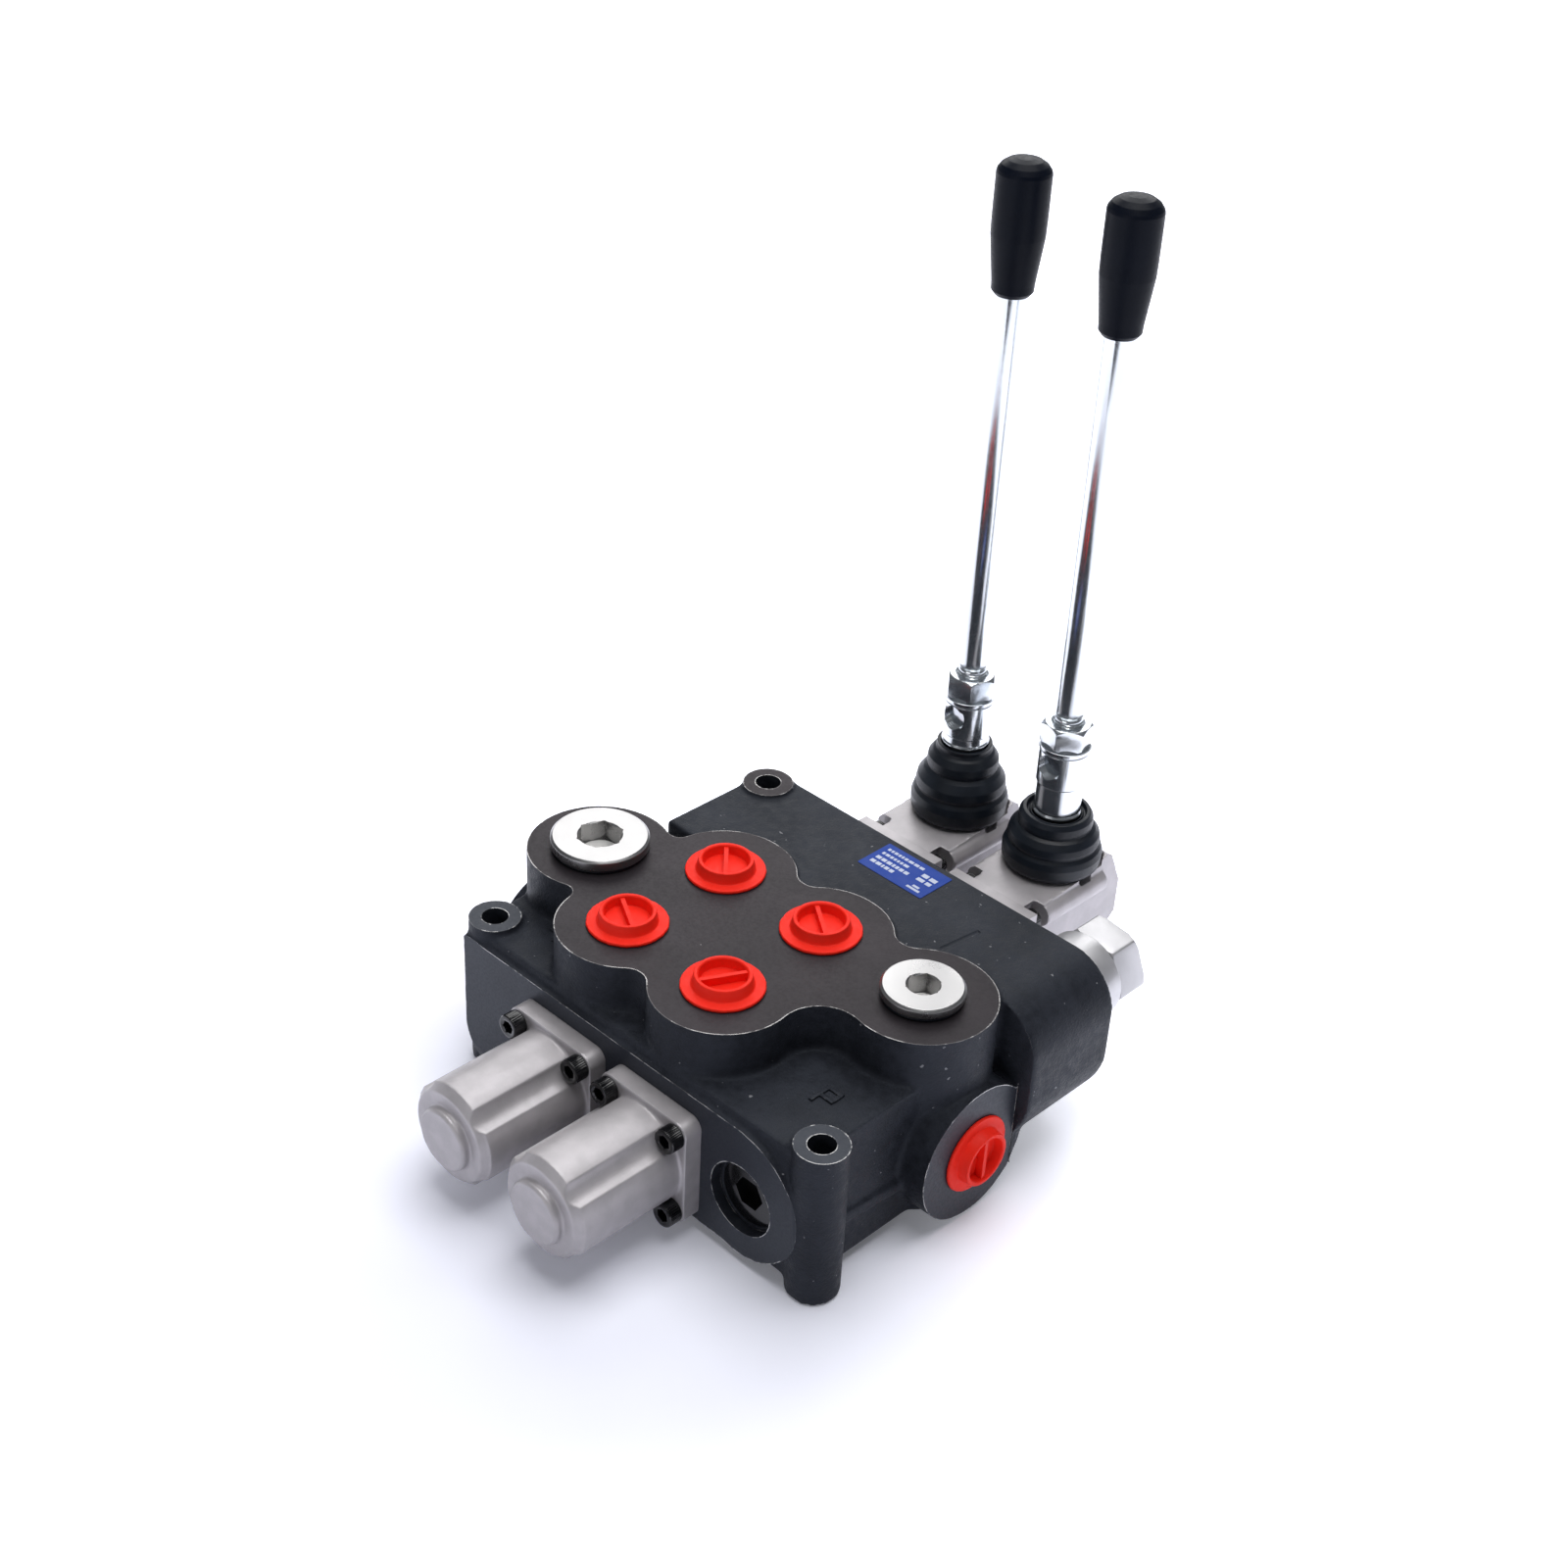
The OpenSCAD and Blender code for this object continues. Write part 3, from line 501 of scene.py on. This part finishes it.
def build_body():
    """The casting: its skin is softened, then the machined faces and holes are cut crisp."""
    def pull(p):
        if p.z > PAD_Z - 0.05:
            return Vector((p.x, p.y, PAD_Z + 3.5))
        if abs(p.z - BOSS_Z) < 0.05 and abs(abs(p.x) - BOSS_X) < 11 and abs(p.y) < 11:
            return Vector((p.x, p.y, BOSS_Z + 3.0))
        if p.y < FRONT_Y + 0.05:
            return Vector((p.x, FRONT_Y - 3.5, p.z))
        if abs(p.x - INLET_X) < 0.05 and p.y < 92.9:
            return Vector((INLET_X + 3.5, p.y, p.z))
        if p.x < OUTLET_X + 0.1:
            return Vector((OUTLET_X - 3.5, p.y, p.z))
        if p.y > BACK_Y - 0.05:
            return Vector((p.x, BACK_Y + 3.5, p.z))
        return None

    body = cast_skin(cad_copy("valve_body", "valve_casting"), 0.95,
                     8, pull)
    body.data.materials.append(M["cast"])
    low, high = (-140, -40, -20), (140, 200, 100)      # a box well outside the casting
    planes = (((-140, -40, PAD_Z), high), (low, (140, FRONT_Y, 100)), ((INLET_X, -40, -20), (140, 92.9, 100)),
              (low, (OUTLET_X, 200, 100)), ((-140, BACK_Y, -20), high), (low, (140, 200, 0)))
    for a, b in planes:
        boolean(body, box(a, b))
    cuts = [rod(13, BOSS_Z, BOSS_Z + 10, (side * BOSS_X, 0, 0)) for side in (-1, 1)]
    cuts += [rod(5.27, -5, PAD_Z + 5, (x, y, 0)) for x, y in ((-BOSS_X, 0), (BOSS_X, 0), (-69, 129.5))]
    port_r = 12.12
    deep = PAD_Z - 18.5
    cuts += [rod(port_r, deep, PAD_Z + 5, (x, y, 0), segs=96) for x in SPOOL_X for y in PORT_Y]
    cuts += [rod(port_r, deep, PAD_Z + 5, (*INLET_PLUG, 0), segs=96),
             rod(15.22, deep, PAD_Z + 5, (*OUTLET_PLUG, 0), segs=96),
             rod(port_r, INLET_X - 18.5, 110, (0, INLET_PLUG[1], AXIS_Z), (1, 0, 0), 96),
             rod(port_r, -OUTLET_X - 18.5, 120, (0, OUTLET_PLUG[1], AXIS_Z), (-1, 0, 0), 96),
             rod(15.03, -20, -6.5, (CHECK_X, 0, AXIS_Z), (0, 1, 0), 128)]
    for cutter in cuts:
        boolean(body, cutter)
    # A short crease in the slab behind the inlet lobe
    boolean(body, rod(1.5, -10, 10, (55.5, 108.5, SLAB_Z + 1.1), (0.13, 1, 0), 24))
    paint(body, M["pad"], lambda c, n: c.z > PAD_Z - 0.02 and n.z > 0.9)
    paint(body, M["milled"], lambda c, n: (
        (c.y < FRONT_Y + 0.02 and n.y < -0.9) or (c.y > BACK_Y - 0.02 and n.y > 0.9)
        or (abs(c.x - INLET_X) < 0.02 and n.x > 0.9) or (c.x < OUTLET_X + 0.02 and n.x < -0.9)
        or (abs(c.z - BOSS_Z) < 0.02 and n.z > 0.9 and abs(c.y) < 12)))
    finish_piece(body, "root", "valve_body")
    # Raised foundry marks beside the tank and the pressure port
    marks = bmesh.new()
    bars = (((-65.4, 8.5), (-63.4, 18.5)), ((-71.0, 12.5), (-65.0, 14.5)),
            ((66.5, 16.0), (68.5, 27.0)), ((68.0, 25.0), (74.5, 27.0)), ((68.0, 20.0), (74.5, 22.0)),
            ((72.7, 21.5), (74.7, 25.5)))
    for a, b in bars:
        box((*a, DECK_Z - 0.6), (*b, DECK_Z + 0.8), marks)
    marks = to_object("foundry_marks", marks, M["cast"])
    bevel(marks, 0.3)
    finish_piece(marks, "root")


build_body()


# -------------------------------------------------------- caps and plugs

def gather(name, parts, material):
    """One object of closed solids that don't touch."""
    bm = bmesh.new()
    for p in parts:
        bm.from_mesh(p.data)
        bpy.data.objects.remove(p)
    mesh = bpy.data.meshes.new(name)
    bm.to_mesh(mesh)
    bm.free()
    obj = bpy.data.objects.new(name, mesh)
    bpy.context.scene.collection.objects.link(obj)
    mesh.materials.append(material)
    return obj


CAP_PROFILE = [(0, 1.7), (8.9, 1.7, 0.5), (9.25, 5.6, 0.3), (9.7, 6.0, 0.3), (10.9, 6.0, 0.4),
               (11.75, 1.45, 0.7), (16.0, 1.35, 0.3), (16.3, 0.75, 0.3), (16.1, 0.05, 0.2), (11.9, 0.05, 0.2),
               (11.7, -10.9, 0.4), (10.5, -10.9, 0.4), (10.4, 0.4, 0.4), (0, 0.4)]


def shipping_cap(origin, axis, turn, seed):
    """A moulded cap with a slightly ragged thin flange and a grip bar across its recess."""
    rng = random.Random(seed)
    waves = [(rng.choice((5, 7, 9, 13, 21, 34)), rng.uniform(0.02, 0.09), rng.uniform(0, 6.28))
             for _ in range(6)]

    def ragged(a, r, z):
        """How far the flange's edge stands back: waves of so many lobes, depth and phase."""
        if r < 15.8 or z < 0:
            return 0.0
        return -0.12 - sum(abs(depth * math.sin(lobes * a + phase)) for lobes, depth, phase in waves)

    m = frame_to(origin, axis, turn)
    cap = to_object("cap", lathe(rounded(CAP_PROFILE, 0.3), 144, m, ragged), M["red"])
    bar = prism([(-9.4, -0.85), (9.4, -0.85), (9.4, 0.85), (-9.4, 0.85)], 1.2, 5.1, m)
    boolean(cap, bar, "UNION", M["red"])
    return cap


CAP_TURN = ((-29, 63), (-45, -35))      # how the grip bars of the work port caps stand, degrees


def build_caps():
    caps = [shipping_cap((SPOOL_X[i], PORT_Y[j], PAD_Z), (0, 0, 1), CAP_TURN[j][i], 3 * i + j)
            for i in (0, 1) for j in (0, 1)]
    inlet = shipping_cap((INLET_X, INLET_PLUG[1], AXIS_Z), (1, 0, 0), 0, 11)
    outlet = shipping_cap((OUTLET_X, OUTLET_PLUG[1], AXIS_Z), (-1, 0, 0), 30, 17)
    for name, parts, node in (("red_caps_work_ports", caps, "work_port_caps"),
                              ("red_cap_inlet", [inlet], "inlet_port_cap"),
                              ("red_cap_outlet", [outlet], "outlet_port_cap")):
        finish_piece(gather(name, parts, M["red"]), "root", node)


SEAL_T = 1.0                    # thickness of the seals under the collar plugs, mm


def collar_plug(name, node, place, collar_r, t, thread_r, socket_af, turn):
    """A turned plug on its seal: chamfered collar t thick, hexagon socket with a drill point
    and a threaded shank."""
    points = [(0, t), (socket_af * 0.62, t, 0.3), (collar_r - 1.0, t, 0.3), (collar_r, t - 0.9, 0.3),
              (collar_r, 0.8, 0.3), (collar_r - 0.7, 0, 0.2), (thread_r, 0, 0.2)]
    pitch = 1.8
    k = 0.0
    while k > -13.0:
        points += [(thread_r - pitch / 2, k - pitch / 2, 0), (thread_r, k - pitch, 0)]
        k -= pitch
    points += [(0, -14.2)]
    at = frame_to((*place, PAD_Z + SEAL_T), (0, 0, 1))
    plug = to_object(name, lathe(rounded(points, 0.0), 128, at), M["steel"])
    boolean(plug, prism(hexagon(socket_af, turn), t - 8.5, t + 2, at), "DIFFERENCE", M["socket"])
    drill_r = socket_af * 0.49
    drill = lathe([(0, t - 10.8), (drill_r, t - 8.45), (drill_r, t - 8.2), (0, t - 8.2)], 48, at)
    boolean(plug, drill, "DIFFERENCE", M["socket"])
    lead_r = socket_af / 2
    lead = lathe([(0, t + 2), (lead_r + 0.6, t + 2), (lead_r + 0.6, t), (lead_r - 0.4, t - 0.9),
                  (0, t - 0.9)], 96, at)
    boolean(plug, lead, "DIFFERENCE", M["steel"])
    return finish_piece(plug, "root", node)


def plug_seal(name, node, place, r0, r1):
    """A bonded seal ring between a plug's collar and the pad."""
    profile = rounded([(r0, 0), (r1, 0), (r1, SEAL_T), (r0, SEAL_T)], 0.45, 5, True)
    ring = to_object(name, lathe(profile, 96, frame_to((*place, PAD_Z), (0, 0, 1))), M["rubber"])
    finish_piece(ring, "root", node)


def build_plugs():
    collar_plug("inlet_plug", "inlet_top_plug", INLET_PLUG, 16.0, 4.3, 12.0, 12, 0)
    collar_plug("outlet_plug", "outlet_top_plug", OUTLET_PLUG, 19.75, 5.0, 15.1, 17, 8)
    plug_seal("inlet_plug_seal", "inlet_top_seal", INLET_PLUG, 12.4, 15.4)
    plug_seal("outlet_plug_seal", "outlet_top_seal", OUTLET_PLUG, 15.5, 19.0)


# ----------------------------------------------------------------- screws

def cap_screw(place, axis, size, shank, seed):
    """A socket head screw of size (head radius, head height, thread radius, hexagon):
    knurled head, chamfered rim, hexagon socket, threaded shank."""
    r, t, rod_r, across = size
    m = frame_to(place, axis, random.Random(seed).uniform(0, 60))
    segs = 160

    def knurl(a, radius, h):
        """Two steps out and two steps in round the head, between its rounded ends."""
        if radius < r - 0.15 or not 0.6 < h < t - 0.8:
            return 0.0
        return -0.15 if int(a * segs / (2 * math.pi)) % 4 < 2 else 0.0

    points = [(0, t), (r - 0.8, t), (r - 0.32, t - 0.15), (r - 0.04, t - 0.55), (r - 0.02, t - 0.85),
              (r - 0.02, 0.65), (r - 0.05, 0.3), (r - 0.3, 0.0), (rod_r - 0.05, 0.0)]
    pitch = 0.8
    h = 0.0
    while h > -shank + 1:
        points += [(rod_r - 0.45, h - pitch / 2), (rod_r - 0.05, h - pitch)]
        h -= pitch
    points += [(rod_r - 0.6, -shank), (0, -shank)]
    screw = to_object("screw", lathe(points, segs, m, knurl), M["black_screw"])
    floor = t * 0.42                # bottom of the socket
    boolean(screw, prism(hexagon(across), floor, t + 1, m), "DIFFERENCE", M["black_screw"])
    drill_r = across * 0.48
    drill = lathe([(0, floor - 1.1), (drill_r, floor + 0.1), (drill_r, floor + 0.4), (0, floor + 0.4)], 24, m)
    boolean(screw, drill, "DIFFERENCE", M["black_screw"])
    lead = lathe([(0, t + 1), (across * 0.68, t + 1), (across * 0.68, t + 0.02), (across * 0.54, t - 0.45),
                  (0, t - 0.45)], 48, m)
    return boolean(screw, lead, "DIFFERENCE", M["black_screw"])


CAP_SCREW = (5.0, 6.0, 3.0, 5.0)
HOUSE_SCREW = (4.25, 5.0, 2.5, 4.0)


def build_screws():
    for k, x in enumerate(SPOOL_X, 1):
        caps, backs = [], []
        for i in (-1, 1):
            for z in (AXIS_Z - 17.8, AXIS_Z + 17.8):
                place = (x + i * 17.7, FRONT_Y - 7.8, z)
                caps.append(cap_screw(place, (0, -1, 0), CAP_SCREW, 18.5, 10 * k + int(i * z)))
            for z in (15, 46):
                place = (x + i * 17, BACK_Y + 9, z)
                backs.append(cap_screw(place, (0, 1, 0), HOUSE_SCREW, 19.5, 50 * k + i * z))
        for name, parts, node in ((f"spring_cap_screws_{k}", caps, f"cap_screws_{k}"),
                                  (f"housing_screw_set_{k}", backs, f"housing_screws_{k}")):
            finish_piece(gather(name, parts, M["black_screw"]), "root", node)


# --------------------------------------------------- spring caps, housings

def build_cast_cover(node, name, x, side, face):
    """A spring cap or lever housing over the spool at x: a softened skin, cut crisp at the face
    it sits with. side is +1 where the valve's body lies towards +Y of the face, -1 where it
    doesn't."""
    def pull(p):
        return Vector((p.x, face + side * 2, p.z)) if side * (p.y - face) > -0.02 else None

    obj = cast_skin(cad_copy(node, name), 0.5, 2, pull)
    near, far = sorted((face, face + side * 20))
    boolean(obj, box((x - 40, near, 0), (x + 40, far, 80)))
    obj.data.materials.clear()
    obj.data.materials.append(M["aluminium"])
    finish_piece(obj, "root", node)


# ------------------------------------------------------ boots and levers

BOOT_TALL = [(17.25, 54.3, 0.3), (20.5, 54.3, 0.5), (21.0, 56.0, 1.0), (21.2, 60.5, 1.2), (20.3, 63.6, 0.8),
             (19.0, 65.3, 0.35), (19.6, 67.2, 0.8), (19.0, 70.5, 1.2), (16.6, 74.0, 0.8), (15.0, 75.6, 0.35),
             (15.6, 77.4, 0.8), (15.2, 80.6, 1.0), (13.3, 83.3, 1.0), (12.2, 84.2, 0.4), (11.6, 85.4, 0.4),
             (11.9, 87.3, 0.3), (10.35, 87.4, 0.2), (10.35, 83.2, 0.3), (12.6, 81.4, 0.6), (13.6, 78.5, 0.6),
             (13.4, 75.2, 0.6), (16.4, 71.2, 0.6), (17.6, 67.8, 0.5), (17.4, 64.5, 0.5), (19.0, 61.0, 0.6),
             (19.0, 57.6, 0.5), (17.25, 57.0, 0.3)]
BOOT_SHORT = [(17.25, 54.3, 0.3), (20.5, 54.3, 0.5), (21.0, 56.0, 1.0), (21.2, 60.0, 1.2), (20.3, 62.6, 0.8),
              (19.0, 64.0, 0.35), (19.6, 65.8, 0.8), (19.0, 68.6, 1.2), (17.0, 71.0, 0.8), (15.4, 72.0, 0.35),
              (15.8, 73.6, 0.8), (15.5, 76.6, 0.9), (14.2, 78.6, 0.7), (12.6, 78.9, 0.5), (12.2, 76.9, 0.4),
              (11.4, 76.5, 0.3), (10.9, 77.6, 0.3), (10.35, 77.4, 0.2), (10.35, 74.2, 0.3), (12.6, 73.4, 0.6),
              (13.7, 72.4, 0.5), (14.6, 70.2, 0.6), (17.0, 67.8, 0.5), (17.6, 66.2, 0.5), (17.4, 63.6, 0.5),
              (19.0, 60.6, 0.6), (19.0, 57.6, 0.5), (17.25, 57.0, 0.3)]


def upright(x):
    """The frame of the lever over the spool at x, standing on z = 0."""
    return frame_to((x, LEVER_Y, 0), (0, 0, 1))


def build_boot(k, x):
    profile = rounded(BOOT_TALL if k == 1 else BOOT_SHORT, 0.4, 5, True)
    boot = to_object(f"rubber_boot_{k}", lathe(profile, 128, upright(x)), M["rubber"])
    shade(boot, 50)
    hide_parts(f"boot_{k}")
    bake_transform(boot)


def threads(r, depth, z0, z1, pitch):
    """Profile points of a thread drawn as rings, going up from z0."""
    out = []
    z = z0
    while z + pitch <= z1:
        out += [(r - depth, z), (r, z + pitch * 0.4), (r, z + pitch * 0.6)]
        z += pitch
    return out + [(r - depth, z1)]


NUT_TURN = {1: 10, 2: 44}           # how each lock nut happens to stand, degrees
SLEEVE_FOOT = {1: 87.6, 2: 77.8}    # where the sleeve leaves its boot, mm


def lever_sleeve(k, x):
    """The adapter: a turned sleeve with a groove line, a bore and a threaded cross hole."""
    foot = SLEEVE_FOOT[k]
    points = [(0, 69, 0), (8.8, 69, 0.3), (9.4, 69.8, 0.3), (9.4, foot), (10.25, foot + 0.7),
              (10.25, foot + 1.2), (9.75, foot + 2.0), (9.75, 92.4), (10.45, 93.3), (10.45, 108.2, 0.3),
              (9.7, 109, 0.3), (6.1, 109), (6.05, 96.5, 0), (0, 96.5, 0)]
    sleeve = to_object(f"lever_sleeve_{k}", lathe(rounded(points, 0.2), 128, upright(x)), M["zinc"])
    boolean(sleeve, rod(7.05, 60, 85.1, (x, LEVER_Y, 0)), "DIFFERENCE", M["zinc"])
    pitch = 1.25
    hole = [(0, 0), (5.1, 0)]
    h = 0.0
    while h < 12:
        hole += [(5.1, h), (5.75, h + 0.55), (5.75, h + 0.7), (5.1, h + pitch)]
        h += pitch
    hole += [(0, h)]
    across = frame_to((x, LEVER_Y - 6.2, 102.6), (0, -1, 0))
    # The cross hole's walls get the dark zinc copy, which paints shade in the hole
    boolean(sleeve, lathe(hole, 64, across), "DIFFERENCE", M["zinc_dark"])
    return sleeve


def lever_washer(k, x):
    ring = rounded([(6.15, 109.05), (10.95, 109.05), (10.95, 110.95), (6.15, 110.95)], 0.35, 4, True)
    return to_object(f"lever_washer_{k}", lathe(ring, 96, upright(x)), M["zinc"])


def lever_nut(k, x):
    """A hexagon nut with both ends of its corners turned off."""
    at = upright(x)
    nut = to_object(f"lever_nut_{k}", prism(hexagon(19.0, NUT_TURN[k]), 111.0, 121.0, at), M["zinc"])
    keep = lathe([(0, 110.5), (9.5, 111.0), (9.7, 111.0), (10.95, 112.1), (10.95, 119.5), (9.3, 121.0),
                  (0, 121.5)], 128, at)
    boolean(nut, keep, "INTERSECT", M["zinc"])
    boolean(nut, rod(6.05, 100, 130, (x, LEVER_Y, 0)), "DIFFERENCE", M["zinc"])
    lead = lathe([(0, 121.5), (7.2, 121.5), (7.0, 121.0), (6.0, 120.0), (0, 120.0)], 64, at)
    boolean(nut, lead, "DIFFERENCE", M["zinc"])
    return bevel(nut, 0.18, 25)


def lever_bar(k, x):
    """The rod, threaded up to just above its nut."""
    points = [(0, 96.6), (5.4, 96.6), *threads(5.98, 0.55, 97.4, 124.0, 1.25),
              (5.55, 124.6), (5.98, 125.4), (5.98, 324.9), (0, 324.9)]
    return to_object(f"lever_bar_{k}", lathe(points, 96, upright(x)), M["zinc"])


def lever_grip(k, x):
    """The knob: a tapered grip with a lipped base and a low domed top."""
    points = rounded([(6.05, 288.6, 0.2), (6.9, 288.05, 0.3), (8.3, 289.9, 0.3), (8.45, 293.0, 2),
                      (9.6, 303.0, 4), (10.55, 311.5, 4), (10.68, 318.0, 3), (10.68, 335.4, 0.3),
                      (10.35, 336.6, 0.4), (9.0, 338.5, 1.2), (6.6, 340.1, 1.5), (3.4, 340.85, 1),
                      (0, 341.0)], 1.0, 6)
    points += [(0, 325.0), (6.05, 325.0)]
    return to_object(f"lever_grip_{k}", lathe(points, 128, upright(x)), M["knob"])


def build_lever(k, x):
    body = f"lever_{k}"
    for make, node in ((lever_sleeve, "lever_adapter"), (lever_washer, "lock_washer"),
                       (lever_nut, "lock_nut"), (lever_bar, "lever_rod")):
        finish_piece(make(k, x), body, f"{node}_{k}")
    finish_piece(lever_grip(k, x), body, f"lever_knob_{k}")


# -------------------------------------------------- relief valve and label

def build_relief():
    """A turned sleeve with a collar, a hexagon cap and an adjusting screw."""
    at = frame_to((RELIEF_X, 0, RELIEF_Z), (0, 1, 0))
    points = [(3.5, 98.0), (9.9, 98.0, 0.5), (9.9, 125.0), (13.3, 125.2, 0.4), (13.3, 141, 0.1),
              (17.9, 141.0, 0.3), (17.9, 153.2, 0.5), (17.3, 153.9, 0.3), (6.6, 153.9), (6.6, 100.2),
              (3.5, 100.2)]
    sleeve = to_object("relief_valve_body", lathe(rounded(points, 0.2, 3, True), 96, at), M["relief"])
    finish_piece(sleeve, "root", "relief_sleeve")
    cap = to_object("relief_valve_cap", prism(hexagon(31.9, 37), 154.0, 169.0, at), M["relief"])
    keep = lathe([(0, 153.5), (17.5, 154.0), (17.65, 154.0), (18.2, 154.6), (18.2, 167.8), (16.8, 169.0),
                  (0, 169.5)], 128, at)
    boolean(cap, keep, "INTERSECT", M["relief"])
    bore = lathe([(0, 150), (5.05, 150), (5.05, 167.6), (6.4, 169.0), (6.4, 171), (0, 171)], 64, at)
    boolean(cap, bore, "DIFFERENCE", M["relief"])
    bevel(cap, 0.25, 25)
    finish_piece(cap, "root", "relief_cap")
    points = [(0, 146.2), (4.2, 146.2), *threads(4.95, 0.5, 147, 173.2, 1.25), (4.2, 173.9), (0, 173.9)]
    screw = to_object("relief_adjusting_screw", lathe(points, 64, at), M["inner_steel"])
    boolean(screw, prism(hexagon(5.0), 169.5, 176, at), "DIFFERENCE", M["inner_steel"])
    finish_piece(screw, "root", "relief_adjuster")


def rectangle(x, y, w, h):
    return [(x, y), (x + w, y), (x + w, y + h), (x, y + h)]


def build_label():
    """A blue film plate with plain white bars in place of print."""
    film = SLAB_Z + 0.22            # top of the film
    ink = film + 0.06
    plate = prism(rounded(rectangle(-6.0, 117.0, 33.5, 19.0), 0.6, 3, True), SLAB_Z, film)
    finish_piece(to_object("label_plate", plate, M["label"]), "root", "data_label")
    bars = bmesh.new()
    rng = random.Random(4)
    for y, h, end in ((132.6, 1.5, 15.5), (129.2, 1.5, 9.0), (125.6, 1.9, 12.0), (122.2, 1.9, 8.0)):
        x = -3.5
        while x < end:
            w = rng.uniform(0.9, 2.6)
            prism(rectangle(x, y - h / 2, w, h), film, ink, bm=bars)
            x += w + 0.55
    for block in ((17.5, 128.5, 3.0, 2.2), (21.4, 128.5, 3.4, 2.2), (17.5, 125.3, 3.6, 2.0),
                  (22.0, 125.3, 2.6, 2.0), (18.0, 119.0, 6.5, 1.2), (19.6, 120.9, 3.2, 1.2)):
        prism(rectangle(*block), film, ink, bm=bars)
    finish_piece(to_object("label_marks", bars, M["label_white"]), "root")


def build_squeezed_spring(node):
    """A copy of the CAD coil, fixed to the body as it is; it doesn't shorten as its poppet lifts."""
    coil = cad_copy(node, node + "_coil")
    coil.data.materials.append(M["inner_steel"])
    finish_piece(coil, "root", node)
    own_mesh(coil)


build_caps()
build_plugs()
build_squeezed_spring("check_spring")
build_squeezed_spring("relief_spring")
build_screws()
for number, place_x in enumerate(SPOOL_X, 1):
    build_cast_cover(f"spring_cap_{number}", f"spring_cap_skin_{number}", place_x, 1, FRONT_Y)
    build_cast_cover(f"lever_housing_{number}", f"lever_housing_skin_{number}", place_x, -1, BACK_Y)
    build_boot(number, place_x)
    build_lever(number, place_x)
build_relief()
build_label()


# ------------------------------------------------------- camera and lights

def look(azimuth, elevation, roll):
    """Axes of a camera that looks at the part: right, up and backwards."""
    a, e, r = (math.radians(v) for v in (azimuth, elevation, roll))
    ahead = Vector((-math.sin(a) * math.cos(e), math.cos(a) * math.cos(e), -math.sin(e)))
    right = Vector((math.cos(a), math.sin(a), 0))
    up = right.cross(ahead)
    right, up = (math.cos(r) * right + math.sin(r) * up, -math.sin(r) * right + math.cos(r) * up)
    return Matrix((right, up, -ahead)).transposed().to_4x4()


camera_data = bpy.data.cameras.new("camera")
camera_data.sensor_width = 36.0
camera_data.lens = 53.9
camera_data.shift_x = 0.00425
camera_data.shift_y = 0.0032
camera_data.clip_start = 0.01
camera_data.clip_end = 50.0
camera = bpy.data.objects.new("camera", camera_data)
camera.matrix_world = look(43.31, 33.11, 3.10)
camera.location = Vector((494.8, -462.8, 615.0)) * MM
bpy.context.scene.collection.objects.link(camera)
bpy.context.scene.camera = camera


def area_light(name, place, target, size, power):
    """A rectangular lamp turned to its target, in metres and watts."""
    data = bpy.data.lights.new(name, "AREA")
    data.shape = "RECTANGLE"
    data.size, data.size_y = size
    data.energy = power
    obj = bpy.data.objects.new(name, data)
    obj.location = place
    obj.rotation_euler = (Vector(target) - Vector(place)).to_track_quat("-Z", "Y").to_euler()
    bpy.context.scene.collection.objects.link(obj)


area_light("top", (0.02, 0.22, 1.45), (0, 0.06, 0.0), (1.2, 1.2), 19)
area_light("back", (-0.86, 1.04, 1.0), (0, 0.06, 0.09), (1.5, 1.0), 13)
area_light("front", (0.15, -1.3, 0.5), (0, 0.05, 0.05), (0.9, 0.4), 2.2)

world = bpy.data.worlds.new("studio")
bpy.context.scene.world = world
world.use_nodes = True
world.node_tree.nodes["Background"].inputs["Color"].default_value = (0.90, 0.94, 1.0, 1.0)
world.node_tree.nodes["Background"].inputs["Strength"].default_value = 0.15
bpy.context.scene.view_settings.view_transform = "Standard"


def stage_plane(name, x0, y0, x1, y1, z, material):
    """A level sheet for the photo studio, in millimetres."""
    bm = bmesh.new()
    bm.faces.new([bm.verts.new((x, y, z)) for x, y in ((x0, y0), (x1, y0), (x1, y1), (x0, y1))])
    sheet = to_object(name, bm, material)
    return sheet


# The floor glows: weakly close to the object, which paints shade round it, and more so further away
floor_paint = Nodes("floor_white", (0.9, 0.91, 0.95), 0.8, spec=0.1)
tint = floor_paint.mix(floor_paint.noise(20, 2.0), (0.86, 0.87, 0.98), (0.89, 0.90, 1.0))
floor_paint.set("Base Color", tint)
# The middle of that painted shade is moved 10 mm towards -X and 30 mm towards -Y
shift = floor_paint.add("ShaderNodeVectorMath", operation="SUBTRACT")
shift.inputs[1].default_value = (-0.01, -0.03, 0.0)
floor_paint.link(floor_paint.coord, shift.inputs[0])
away = floor_paint.add("ShaderNodeVectorMath", operation="LENGTH")
floor_paint.link(shift.outputs["Vector"], away.inputs[0])
floor_paint.set("Emission Color", (0.93, 0.94, 1.0, 1.0))
floor_paint.set("Emission Strength", floor_paint.span(away.outputs["Value"], 0.11, 0.27, 0.10, 0.95))
stage_plane("floor", -60000, -60000, 60000, 60000, -0.3, floor_paint.mat)
# A black flag beside the object that only reflections see: the rods show it as a dark stripe
cloth = simple("black_flag_cloth", (0.02, 0.02, 0.025), 0.9, bump=0.0, scale=20, spec=0.05)
flag = stage_plane("black_flag", 120, -900, 700, -200, 0.5, cloth)
flag.visible_camera = False
flag.visible_diffuse = False
flag.visible_shadow = False
